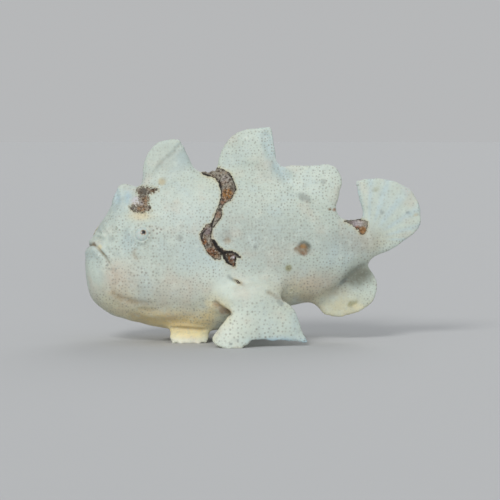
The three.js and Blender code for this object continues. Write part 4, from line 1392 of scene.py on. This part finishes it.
    @staticmethod
    def on_flank(points: np.ndarray, side: Side, seam: float) -> np.ndarray:
        """Give 1 on one flank and 0 on the other, with a soft seam between them."""
        return smooth_step(-seam, seam, points[:, 1] * side.value)

    def pore_place(self, pore: Pore, side: Side) -> np.ndarray:
        """Find a pore's middle on one flank."""
        return np.array(self.body.flank(pore.x, pore.z, side))

    def refined(self, clay: Clay, fine: np.ndarray) -> Clay:
        """Split the faces at the chosen points into four.

        Args:
            clay: the skin.
            fine: True for each point whose faces are split.

        Returns:
            The skin again, with its new points.
        """
        clay.write()
        form = bmesh.new()
        form.from_mesh(clay.mesh)
        form.verts.ensure_lookup_table()
        edges = {e for i in np.flatnonzero(fine) for f in form.verts[i].link_faces for e in f.edges}
        ordered = sorted(edges, key=lambda e: e.index)
        bmesh.ops.subdivide_edges(form, edges=ordered, cuts=1, use_grid_fill=True, smooth=0.0)
        bmesh.ops.triangulate(form, faces=[f for f in form.faces if len(f.verts) > 4])
        form.to_mesh(clay.mesh)
        form.free()
        return Clay(clay.mesh)

    def sculpt(self, clay: Clay, eyes: dict[Side, tuple[Vector, Vector]]) -> np.ndarray:
        """Move the points for lips, lids, nostrils, folds, crusts and the unevenness of flesh.

        Args:
            clay: the skin.
            eyes: the middle and the gaze of each eye.

        Returns:
            How strongly each point takes the colour of the mouth's cleft.
        """
        points, out = clay.points, clay.normals()
        xz = points[:, [0, 2]]
        move, cleft = self.mouth.move(xz)
        for marks in self.markings:
            here = self.on_flank(points, marks.side, self.shape_seam)
            for fold in marks.folds:
                away, share, _ = line_distance(xz, fold.line)
                move += here * fold.profile(away, share)
            move += here * self.relief.height(points, marks.depth(marks.crusts, xz))
            for pore in self.pores:
                away = np.linalg.norm(points - self.pore_place(pore, marks.side), axis=1)
                move += pore.move(away)
            move += self.lid(points, *(np.array(v) for v in eyes[marks.side]))
        move += self.unevenness.height(points)
        clay.points = points + out * move[:, None]
        clay.points[:, 2] = np.maximum(clay.points[:, 2], 0.0)
        return cleft

    def lid(self, points: np.ndarray, middle: np.ndarray, gaze: np.ndarray) -> np.ndarray:
        """Shape the skin round one eye.

        Args:
            points: the skin's points.
            middle: the eye's middle.
            gaze: the direction out of the lid.

        Returns:
            How far the skin moves out.
        """
        ray = points - middle
        depth = ray @ gaze
        from_axis = np.linalg.norm(ray - depth[:, None] * gaze, axis=1)
        near = (depth > -self.socket.depth) & (from_axis < self.socket.reach)
        return np.where(near, self.socket.move(from_axis), 0)

    def soft_facing(self, clay: Clay) -> np.ndarray:
        """Give the direction that each part of the skin faces, without its small bumps.

        Args:
            clay: the skin.

        Returns:
            A direction for each point.
        """
        facing = clay.normals()
        for _ in range(self.facing_smoothing):
            facing = unit(facing + clay.around(facing))
        return facing

    def paint(self, clay: Clay, cleft: np.ndarray) -> None:
        """Keep the skin's soft colours, painted light and shade among them, and its masks on its
        points.

        Args:
            clay: the skin.
            cleft: how strongly each point takes the colour of the mouth's cleft.
        """
        points = clay.points
        xz = points[:, [0, 2]]
        plain = (len(points), 1)
        tone, crust_tone = (np.tile(np.array(base), plain) for base in (PALE, CRUST_GREY))
        crust, ink = np.full(len(points), -MARK_REACH), np.full(len(points), -MARK_REACH)
        facing = self.soft_facing(clay)
        downward = smooth_step(*self.low_facing, -facing[:, 2])
        low = downward * smooth_step(*self.low_heights, points[:, 2])
        # painted shade: ochre mixed into skin that faces down, more so low on the body, which also
        # gives the belly its warm colour
        blend(tone, OCHRE, self.underside_warmth_and_shade * low)
        for marks in self.markings:
            here = self.on_flank(points, marks.side, self.colour_seam)
            for tint in marks.tints:
                blend(tone, tint.colour, here * tint.strength * tint.cover(*xz.T))
            for fold in marks.folds:
                if fold.colour:
                    away, share, _ = line_distance(xz, fold.line)
                    blend(tone, fold.colour, here * fold.shade(away, share))
            for spot in marks.spots:
                blend(tone, spot.colour, here * spot.area.cover(xz))
            for crust_mark in marks.crust_stains_and_glints:
                blend(crust_tone, crust_mark.colour, here * crust_mark.area.cover(xz))
            mostly = here > 0.5
            crust = np.where(mostly, np.maximum(crust, marks.depth(marks.crusts, xz)), crust)
            ink = np.where(mostly, np.maximum(ink, marks.depth(marks.inks, xz)), ink)
        blend(tone, BLUISH, self.streaks.cover(xz))
        blend(tone, MOUTH_BROWN, cleft)
        painted = {"tone": tone, "crust_tone": crust_tone, "crust": crust, "ink": ink}
        for name, values in painted.items():
            clay.attribute(name, values)
        for name, areas in MASKS.items():
            clay.attribute(name, np.max([area.cover(xz) for area in areas], axis=0))
        clay.vector("facing", facing)

    def build(self, eyes: dict[Side, tuple[Vector, Vector]]) -> bpy.types.Object:
        """Build, sculpt and colour the skin.

        Args:
            eyes: the middle and the gaze of each eye.

        Returns:
            The skin.
        """
        mesh, trees = self.rough()
        clay = Clay(mesh)
        log.info("skin before folds: %d points", len(clay.points))
        self.rounded(clay, trees)
        clay = self.refined(clay, self.fine_zones(clay, eyes))
        cleft = self.sculpt(clay, eyes)
        self.paint(clay, cleft)
        clay.write()
        mesh.name = "skin"
        mesh.materials.clear()
        mesh.materials.append(SkinFinish().material())
        return placed("skin", mesh, "skin", *self.flesh)


@dataclass
class Eye:
    """An eyeball with its pupil, set in its lid."""

    side: Side
    lean: Triple = (0.3, 0.0, 0.16)
    bulge: float = 0.12
    bulge_angle: float = 0.45
    sides: int = 64
    rings: int = 48

    @property
    def node(self) -> str:
        """Name the solid that the eye replaces."""
        return f"eye_{self.side.name.lower()}"

    def place(self, body: Trunk) -> tuple[Vector, Vector]:
        """Find the eye's middle and the direction of its lid.

        Args:
            body: the body that carries it.

        Returns:
            The middle in millimetres, and a direction of length 1.
        """
        low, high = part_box(self.node)
        middle = (low + high) / 2 / MM
        return middle, body.outward(middle.x, middle.z, self.side)

    def build(self, body: Trunk) -> bpy.types.Object:
        """Build the ball with its pupil towards the gaze.

        Args:
            body: the body that carries the eye.

        Returns:
            The eye.
        """
        middle, out = self.place(body)
        low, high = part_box(self.node)
        radius = (high.x - low.x) / 2 / MM
        gaze = (out + Vector(self.lean)).normalized()
        ball = bmesh.new()
        bmesh.ops.create_uvsphere(ball, u_segments=self.sides, v_segments=self.rings, radius=radius)
        pole = Vector((0, 0, 1))
        polar = [v.co.angle(pole) for v in ball.verts]
        for vert, angle in zip(ball.verts, polar):
            vert.co *= 1 + self.bulge / radius * math.exp(-((angle / self.bulge_angle) ** 2))
        bmesh.ops.rotate(ball, matrix=pole.rotation_difference(gaze).to_matrix(), verts=ball.verts)
        bmesh.ops.translate(ball, vec=middle, verts=ball.verts)
        piece = finished(f"eyeball_{self.side.name.lower()}", ball, "eye", self.node)
        Clay(piece.data).attribute("from_pupil", np.array(polar) * radius)
        piece.data.materials.append(EyeFinish().material())
        return piece


@dataclass
class Lure:
    """The fishing rod, folded back on the right of the forehead, with its bait of soft threads."""

    body: Trunk
    radius: float = 0.5
    tip_radius: float = 0.3
    stations: tuple[float, ...] = (2.35, 3.0, 3.7, 4.4, 5.0)
    turns: tuple[float, ...] = (0.06, 0.36, 0.55, 0.62, 0.62)
    lift: float = 0.95
    root_depth: float = 0.8
    core_reach: tuple[float, ...] = (-0.8, 0.5, 1.8)
    core_radii: tuple[float, ...] = (0.55, 0.9, 0.5)
    threads: int = 14
    thread_length: float = 3.4
    thread_start: float = 0.4
    thread_radii: tuple[float, ...] = (0.22, 0.2, 0.15, 0.07)
    thread_spread: Rows = ((0.45, 0.75), (0.8, 1.25), (1.0, 1.1))
    thread_phases: Triple = (2.4, 3.1, 1.7)
    thread_tilt: float = 0.15
    thread_least: float = 0.6

    def path(self) -> np.ndarray:
        """Give the rod's points over the forehead.

        Returns:
            The points, in millimetres.
        """
        stations, turns = np.array(self.stations), -np.array(self.turns)
        skin = self.body.surface(stations, turns)
        middle = through(self.body.stations, stations)[:, [0, 3]]
        out = unit(skin - np.stack([middle[:, 0], np.zeros(len(skin)), middle[:, 1]], 1))
        lifts = np.full(len(skin), self.lift)
        lifts[0] = -self.root_depth
        return skin + out * lifts[:, None]

    @staticmethod
    def limb(
        name: str, path: Iterable[np.ndarray], radii: tuple[float, ...], rings: int, sides: int
    ) -> Limb:
        """Set out one round form along a path of points."""
        return Limb(name, path=tuple(map(tuple, path)), radius=radii, rings=rings, sides=sides)

    def thread(self, k: int, end: np.ndarray, forward: np.ndarray) -> Limb:
        """Set out one of the bait's threads.

        Args:
            k: the thread's number.
            end: the rod's tip.
            forward: the way that the rod's tip points.

        Returns:
            The thread.
        """
        angle, lean, size = (phase * k for phase in self.thread_phases)
        aside = np.array((self.thread_tilt * math.sin(lean), math.cos(angle), math.sin(angle)))
        longer = (1 - self.thread_least) * math.cos(size) ** 2
        reach = self.thread_length * (self.thread_least + longer)
        steps = [
            end + forward * share * reach + aside * spread for share, spread in self.thread_spread
        ]
        start = end + forward * self.thread_start
        return self.limb(f"thread_{k}", [start, *steps], self.thread_radii, 16, 8)

    def build(self) -> bpy.types.Object:
        """Build the rod, the bait's core and its threads as one piece.

        Returns:
            The lure.
        """
        path = self.path()
        radii = tuple(np.linspace(self.radius, self.tip_radius, len(path)))
        end, forward = path[-1], unit(path[-1] - path[-2])
        core = [end + forward * d for d in self.core_reach]
        forms = [
            self.limb("rod", path, radii, 60, 16),
            self.limb("core", core, self.core_radii, 24, 20),
            *(self.thread(k, end, forward) for k in range(self.threads)),
        ]
        piece = finished("lure", joined(form.build() for form in forms), "lure_skin", "fishing_rod")
        piece.data.materials.append(LureFinish().material())
        return piece


# Finishes

class Value:
    """An output of a shader tree, on which Python's operators add Math nodes."""

    def __init__(self, tree: "Tree", socket: bpy.types.NodeSocket) -> None:
        """Wrap a socket of a tree."""
        self.tree = tree
        self.socket = socket

    def __add__(self, other: "Value | float") -> "Value":
        """Add."""
        return self.tree.math("ADD", self, other)

    def __sub__(self, other: "Value | float") -> "Value":
        """Take away."""
        return self.tree.math("SUBTRACT", self, other)

    def __rsub__(self, other: float) -> "Value":
        """Take this away from a number."""
        return self.tree.math("SUBTRACT", other, self)

    def __mul__(self, other: "Value | float") -> "Value":
        """Multiply."""
        return self.tree.math("MULTIPLY", self, other)

    def __gt__(self, other: "Value | float") -> "Value":
        """Give 1 where this is larger."""
        return self.tree.math("GREATER_THAN", self, other)

    __radd__ = __add__
    __rmul__ = __mul__


class Tree:
    """The node tree of one material, with the place on its piece in millimetres."""

    def __init__(self, name: str) -> None:
        """Start an empty material.

        Args:
            name: the material's name.
        """
        self.made = bpy.data.materials.new(name)
        self.made.use_nodes = True
        self.made.node_tree.nodes.clear()
        coordinates = self.out(self.node("ShaderNodeTexCoord"), "Object")
        self.place = self.vector("SCALE", {0: coordinates, "Scale": 1 / MM})

    def node(
        self, kind: str, settings: dict | None = None, inputs: dict | None = None
    ) -> bpy.types.Node:
        """Add a node.

        Args:
            kind: the node's type.
            settings: its own settings, set first.
            inputs: values or links of its sockets, by name or number.

        Returns:
            The node.
        """
        node = self.made.node_tree.nodes.new(kind)
        for key, value in (settings or {}).items():
            setattr(node, key, value)
        for key, value in (inputs or {}).items():
            if isinstance(value, Value):
                self.made.node_tree.links.new(value.socket, node.inputs[key])
            else:
                node.inputs[key].default_value = value
        return node

    def out(self, node: bpy.types.Node, name: str | int = 0) -> Value:
        """Wrap an output of a node."""
        return Value(self, node.outputs[name])

    def math(self, operation: str, *values: "Value | float") -> Value:
        """Add a Math node."""
        node = self.node("ShaderNodeMath", {"operation": operation}, dict(enumerate(values)))
        return self.out(node)

    def vector(self, operation: str, inputs: dict) -> Value:
        """Add a Vector Math node."""
        return self.out(self.node("ShaderNodeVectorMath", {"operation": operation}, inputs))

    def mix(self, amount: "Value | float", one: "Value | Colour", two: "Value | Colour") -> Value:
        """Mix two colours.

        Args:
            amount: the share of the second.
            one: the first colour.
            two: the second colour.

        Returns:
            The mixed colour.
        """
        one, two = (c if isinstance(c, Value) else (*c, 1) for c in (one, two))
        node = self.node("ShaderNodeMix", {"data_type": "RGBA"}, {0: amount, 6: one, 7: two})
        return self.out(node, 2)

    def blend(self, amount: Value, one: Value, two: Value) -> Value:
        """Go from one number to the other as the amount rises from 0 to 1."""
        return one + (two - one) * amount

    def step(self, low: float, high: float, value: Value) -> Value:
        """Rise smoothly over a span of a value.

        Args:
            low: where the value gives 0.
            high: where it gives 1.
            value: the value.

        Returns:
            The share, from 0 to 1.
        """
        smooth = {"interpolation_type": "SMOOTHSTEP"}
        span = {"Value": value, "From Min": low, "From Max": high}
        return self.out(self.node("ShaderNodeMapRange", smooth, span))

    def attribute(self, name: str, colour: bool = False) -> Value:
        """Read a number or a colour of the piece's points."""
        node = self.node("ShaderNodeAttribute", {"attribute_name": name})
        return self.out(node, "Color" if colour else "Fac")

    def parts(self, vector: Value) -> list[Value]:
        """Split a vector into its three numbers."""
        node = self.node("ShaderNodeSeparateXYZ", {}, {0: vector})
        return [self.out(node, k) for k in range(3)]

    def bump(self, height: Value, strength: float, depth: float) -> Value:
        """Give the normal of a fine relief whose depth is in millimetres."""
        inputs = {"Strength": strength, "Distance": depth * MM, "Height": height}
        return self.out(self.node("ShaderNodeBump", {}, inputs))

    def finish(self, shader: dict) -> bpy.types.Material:
        """Close the tree with a Principled shader.

        Args:
            shader: the shader's values and links.

        Returns:
            The material.
        """
        node = self.node("ShaderNodeBsdfPrincipled", {}, shader)
        self.node("ShaderNodeOutputMaterial", {}, {"Surface": self.out(node)})
        return self.made


@dataclass(frozen=True)
class Grain:
    """Soft noise whose grains have a size in millimetres."""

    size: float
    detail: float = 2.0
    rough: float = 0.5

    def lay(self, tree: Tree) -> Value:
        """Lay the noise over a piece.

        Args:
            tree: the tree of the piece's material.

        Returns:
            The noise, from 0 to 1.
        """
        size, detail, rough = 1 / self.size, self.detail, self.rough
        inputs = {"Vector": tree.place, "Scale": size, "Detail": detail, "Roughness": rough}
        return tree.out(tree.node("ShaderNodeTexNoise", {}, inputs), "Fac")


@dataclass(frozen=True)
class Band:
    """The span of a value over which something comes in smoothly, and how much of it."""

    low: float
    high: float
    amount: float = 1.0

    def of(self, tree: Tree, value: Value) -> Value:
        """Give how much has come in at a value."""
        return tree.step(self.low, self.high, value) * self.amount


@dataclass(frozen=True)
class Cloud:
    """Skin of another colour that comes in over a band of soft noise."""

    grain: Grain
    band: Band
    colour: Colour
    stays_where_calm: bool = False


@dataclass(frozen=True)
class Dots:
    """A scatter of small round dots, by their usual distance and radius in millimetres."""

    EDGE = (0.1, 1.2)
    VARIES_BY = 0.5

    pitch: float
    radius: float
    scatter: float = 0.75

    def mask(self, tree: Tree, flat: Value) -> Value:
        """Lay the dots.

        Args:
            tree: the material's tree.
            flat: the place on the plane that the skin faces.

        Returns:
            Up to 1 in the dots and 0 between them.
        """
        cells = tree.node(
            "ShaderNodeTexVoronoi",
            {"voronoi_dimensions": "2D", "feature": "F1"},
            {"Vector": flat, "Scale": 1 / self.pitch, "Randomness": self.scatter},
        )
        chance = tree.parts(tree.out(cells, "Color"))[0]
        reach = tree.out(cells, "Distance") * self.pitch - chance * self.VARIES_BY * self.radius
        strong = chance * self.VARIES_BY + (1 - self.VARIES_BY)
        start, end = (share * self.radius for share in self.EDGE)
        return (1 - tree.step(start, end, reach)) * strong


BROAD_CLOUDS = Grain(9.0, 3.0)
CLOUDS = Grain(2.6, 3.0, 0.6)
SMALL_CLOUDS = Grain(0.9, 2.0, 0.6)


@dataclass(frozen=True)
class SkinFinish:
    """Pale moist fish skin with fine dots, and rough dark crusts."""

    clouds: tuple[Cloud, ...] = (
        Cloud(BROAD_CLOUDS, Band(0.5, 0.75, 0.4), BLUISH),
        Cloud(BROAD_CLOUDS, Band(0.5, 0.28, 0.3), PINKISH),
        Cloud(CLOUDS, Band(0.52, 0.74, 0.3), GREYISH, stays_where_calm=True),
        Cloud(CLOUDS, Band(0.5, 0.3, 0.3), BRIGHT),
        Cloud(SMALL_CLOUDS, Band(0.5, 0.75, 0.3), GREYISH, stays_where_calm=True),
    )
    close_dots: Dots = Dots(1.2, 0.27)
    sparse_dots: Dots = Dots(1.6, 0.34)
    bold_dots: Dots = Dots(1.4, 0.36)
    dot_colour: Colour = linear(122, 114, 104)
    dot_strength: float = 0.38
    bold_strength: float = 0.3
    dot_patches: Grain = Grain(6.0)
    dot_patch_band: Band = Band(0.3, 0.62, 0.26)
    bites: Grain = Grain(0.9, 3.0, 0.7)
    bite_depth: float = 1.7
    gap_bite_depth: float = 4.0
    crust_rim: Band = Band(-0.1, 0.1)
    crust_halo: Band = Band(-1.1, 0.1, 0.4)
    crust_lumps: Grain = Grain(2.4, 1.0)
    crust_crumbs: Grain = Grain(1.25, 4.0, 0.75)
    crust_grit: Grain = Grain(0.6, 2.0, 0.6)
    crust_crumble: Grain = Grain(0.6, 3.0, 0.7)
    amber_band: Band = Band(0.52, 0.7, 0.3)
    crumb_band: Band = Band(0.53, 0.43, 0.9)
    speck_band: Band = Band(0.56, 0.66, 0.55)
    ink_band: Band = Band(-0.15, 0.2, 0.95)
    edge_band: Band = Band(0.08, 0.4)
    crust_edge: Colour = linear(38, 31, 26)
    crust_crumb: Colour = linear(64, 50, 38)
    crust_speck: Colour = linear(196, 192, 180)
    calm_crusts: float = 0.6
    calm_clouds: float = 0.8
    ink_waver: float = 0.8
    grain: Grain = Grain(0.5, 3.0, 0.65)
    grain_height: float = 0.4
    crumble_height: float = 1.3
    roughness: float = 0.44
    grain_roughness: float = 0.16
    crust_roughness: float = 0.25

    @staticmethod
    def plane(tree: Tree) -> Value:
        """Give the place on the plane, of three, that the skin faces.

        Args:
            tree: the material's tree.

        Returns:
            The place as two numbers, in millimetres.
        """
        facing = tree.node("ShaderNodeAttribute", {"attribute_name": "facing"})
        straight = tree.vector("ABSOLUTE", {0: tree.out(facing, "Vector")})
        nx, ny, nz = tree.parts(straight)
        x, y, z = tree.parts(tree.place)
        front = (nx > ny) * (nx > nz)
        top = (nz > nx) * (nz > ny)
        flat = {0: x + front * (y - x), 1: z + top * (y - z)}
        return tree.out(tree.node("ShaderNodeCombineXYZ", {}, flat))

    def crust(self, tree: Tree, depth: Value) -> Value:
        """Colour the crusts: crumbs and pale specks on their own spots of colour and painted
        glints, with a dark edge.

        Args:
            tree: the material's tree.
            depth: how deep it lies inside a crust.

        Returns:
            The colour.
        """
        crumbs, grit = self.crust_crumbs.lay(tree), self.crust_grit.lay(tree)
        busy = 1 - tree.attribute("calm") * self.calm_crusts
        amber = self.amber_band.of(tree, self.crust_lumps.lay(tree))
        base = tree.mix(amber, tree.attribute("crust_tone", colour=True), CRUST_AMBER)
        crumbly = tree.mix(self.crumb_band.of(tree, crumbs) * busy, base, self.crust_crumb)
        specked = tree.mix(self.speck_band.of(tree, grit) * busy, crumbly, self.crust_speck)
        inked = tree.attribute("ink") + (crumbs - 0.5) * self.ink_waver
        lined = tree.mix(self.ink_band.of(tree, inked), specked, CRUST_BLACK)
        return tree.mix(1 - self.edge_band.of(tree, depth), lined, self.crust_edge)

    def cloudy(self, tree: Tree) -> Value:
        """Lay the clouds over the skin's own tone.

        Args:
            tree: the material's tree.

        Returns:
            The colour.
        """
        tone = tree.attribute("tone", colour=True)
        busy = 1 - tree.attribute("calm") * self.calm_clouds
        noises = {grain: grain.lay(tree) for grain in (BROAD_CLOUDS, CLOUDS, SMALL_CLOUDS)}
        for cloud in self.clouds:
            share = cloud.band.of(tree, noises[cloud.grain])
            tone = tree.mix(share if cloud.stays_where_calm else share * busy, tone, cloud.colour)
        return tone

    def dots(self, tree: Tree) -> Value:
        """Lay the dots of three sizes, each in its own areas.

        Args:
            tree: the material's tree.

        Returns:
            How strongly the skin takes the dots' colour.
        """
        flat, bold = self.plane(tree), tree.attribute("bold")
        patchy = self.dot_patch_band.of(tree, self.dot_patches.lay(tree)) + self.dot_strength
        usual = tree.blend(bold, self.close_dots.mask(tree, flat), self.bold_dots.mask(tree, flat))
        dots = tree.blend(tree.attribute("sparse"), usual, self.sparse_dots.mask(tree, flat))
        return dots * (1 - tree.attribute("plain")) * (patchy + bold * self.bold_strength)

    def material(self) -> bpy.types.Material:
        """Make the material.

        Returns:
            The material.
        """
        tree = Tree("fish_skin")
        dotted = tree.mix(self.dots(tree), self.cloudy(tree), self.dot_colour)
        bite = tree.attribute("gaps") * self.gap_bite_depth + self.bite_depth
        ragged = tree.attribute("crust") + (self.bites.lay(tree) - 0.5) * bite
        inside = self.crust_rim.of(tree, ragged)
        stained = tree.mix(self.crust_halo.of(tree, ragged), dotted, OCHRE)
        grain = self.grain.lay(tree)
        crumble = inside * self.crust_crumble.lay(tree)
        height = grain * self.grain_height + crumble * self.crumble_height
        return tree.finish({
            "Base Color": tree.mix(inside, stained, self.crust(tree, ragged)),
            "Roughness": (
                grain * self.grain_roughness + self.roughness + inside * self.crust_roughness
            ),
            "Subsurface Weight": 0.12,
            "Subsurface Radius": (1.0, 0.8, 0.6),
            "Subsurface Scale": 1.2 * MM,
            "Specular IOR Level": 0.4,
            "Normal": tree.bump(height, 0.6, 0.3),
        })


@dataclass(frozen=True)
class EyeFinish:
    """A wet pale ball with a small black pupil in a thin brown ring."""

    white: Colour = linear(198, 211, 206)
    ring: Colour = linear(168, 150, 128)
    pupil: Colour = linear(14, 14, 15)
    pupil_radius: float = 0.78
    mottling: Grain = Grain(0.6, 3.0, 0.6)
    mottled: Band = Band(0.4, 0.7, 0.35)
    rear: Band = Band(2.6, 4.2, 0.5)
    waviness: float = 0.25
    ring_edge: tuple[float, float] = (0.1, 0.55)
    pupil_edge: tuple[float, float] = (-0.08, 0.06)

    def material(self) -> bpy.types.Material:
        """Make the material.

        Returns:
            The material.
        """
        tree = Tree("fish_eye")
        reach = tree.attribute("from_pupil")
        mottling = self.mottling.lay(tree)
        white = tree.mix(self.mottled.of(tree, mottling), self.white, GREYISH)
        white = tree.mix(self.rear.of(tree, reach), white, BLUISH)
        wavy = reach + (mottling - 0.5) * self.waviness
        ring, pupil = (
            1 - tree.step(*(self.pupil_radius + step for step in edge), wavy)
            for edge in (self.ring_edge, self.pupil_edge)
        )
        return tree.finish({
            "Base Color": tree.mix(pupil, tree.mix(ring, white, self.ring), self.pupil),
            "Roughness": 0.28,
            "Coat Weight": 1.0,
            "Coat Roughness": 0.04,
            "Subsurface Weight": 0.1,
            "Subsurface Scale": 0.5 * MM,
        })


@dataclass(frozen=True)
class LureFinish:
    """Thin pale brown skin with darker bands."""

    pale: Colour = linear(196, 188, 164)
    dark: Colour = linear(128, 104, 78)
    patches: Grain = Grain(1.6)
    banded: Band = Band(0.52, 0.6, 0.8)
    grain: Grain = Grain(0.3)

    def material(self) -> bpy.types.Material:
        """Make the material.

        Returns:
            The material.
        """
        tree = Tree("lure_skin")
        grain = self.grain.lay(tree)
        bands = self.banded.of(tree, self.patches.lay(tree))
        return tree.finish({
            "Base Color": tree.mix(bands, self.pale, self.dark),
            "Roughness": 0.5 + grain * 0.15,
            "Subsurface Weight": 0.15,
            "Subsurface Scale": 0.6 * MM,
            "Normal": tree.bump(grain, 0.4, 0.1),
        })


@dataclass(frozen=True)
class Lamp:
    """A soft distant light, with the direction in which it stands as seen from the animal."""

    name: str
    toward: Triple
    spread: float
    power: float
    colour: Colour = (1.0, 1.0, 1.0)

    def build(self) -> None:
        """Set the light, whose spread is in degrees."""
        data = bpy.data.lights.new(self.name, "SUN")
        data.angle = math.radians(self.spread)
        data.energy = self.power
        data.color = self.colour
        light = bpy.data.objects.new(self.name, data)
        light.location = Vector(self.toward)
        light.rotation_euler = Vector(self.toward).to_track_quat("Z", "Y").to_euler()
        bpy.context.scene.collection.objects.link(light)


@dataclass
class Studio:
    """A plain pale floor, soft lights, and the camera at the photo's angle."""

    target: Triple = (-1.3, 0.0, 34.0)
    distance: float = 900.0
    elevation: float = 4.0
    width: float = 187.5
    floor_size: float = 6000.0
    floor_colour: Colour = linear(190, 192, 194)
    floor_grain: Grain = Grain(40.0)
    floor_patches: Colour = linear(182, 184, 188)
    floor_mottle: float = 0.06
    lamps: tuple[Lamp, ...] = (
        Lamp("key", (-0.34, -0.68, 0.64), 20.0, 1.3, (1.0, 0.985, 0.955)),
        Lamp("fill", (0.12, -0.98, 0.1), 16.0, 0.7, (1.0, 0.985, 0.96)),
        Lamp("back", (0.3, 0.75, 0.6), 40.0, 0.55),
    )
    sky_colour: Colour = (0.97, 0.985, 1.0)
    sky_strength: float = 0.485

    def floor(self) -> None:
        """Lay the floor."""
        sheet = bmesh.new()
        bmesh.ops.create_grid(sheet, x_segments=1, y_segments=1, size=self.floor_size * MM / 2)
        mesh = meshed("floor", sheet)
        piece = bpy.data.objects.new("floor", mesh)
        bpy.context.scene.collection.objects.link(piece)
        tree = Tree("plain_floor")
        grain = self.floor_grain.lay(tree)
        colour = tree.mix(grain * self.floor_mottle, self.floor_colour, self.floor_patches)
        mesh.materials.append(tree.finish({"Base Color": colour, "Roughness": 0.85}))

    def sky(self) -> None:
        """Light the scene evenly from all round."""
        world = bpy.data.worlds.new("studio")
        world.use_nodes = True
        background = world.node_tree.nodes["Background"]
        background.inputs["Color"].default_value = (*self.sky_colour, 1)
        background.inputs["Strength"].default_value = self.sky_strength
        bpy.context.scene.world = world

    def camera(self) -> None:
        """Set the camera at the photo's angle."""
        data = bpy.data.cameras.new("camera")
        data.sensor_fit = "HORIZONTAL"
        data.lens = data.sensor_width * self.distance / self.width
        data.clip_start = 0.01
        camera = bpy.data.objects.new("camera", data)
        rise = math.radians(self.elevation)
        away = Vector((0, -math.cos(rise), math.sin(rise))) * self.distance
        camera.location = (Vector(self.target) + away) * MM
        camera.rotation_euler = (-away).to_track_quat("-Z", "Y").to_euler()
        bpy.context.scene.collection.objects.link(camera)
        bpy.context.scene.camera = camera

    def build(self) -> None:
        """Set up the floor, the lights, the sky and the camera."""
        self.floor()
        for lamp in self.lamps:
            lamp.build()
        self.sky()
        bpy.context.scene.view_settings.view_transform = "Standard"
        self.camera()


def main() -> None:
    """Build the scene: studio, eyes, skin and lure."""
    logging.basicConfig(level=logging.INFO, format="%(message)s")
    Studio().build()
    skin = Skin()
    eyes = {side: Eye(side) for side in Side}
    places = {side: eye.place(skin.body) for side, eye in eyes.items()}
    skin.build(places)
    for eye in eyes.values():
        eye.build(skin.body)
    Lure(skin.body).build()


if __name__ == "__main__":
    main()
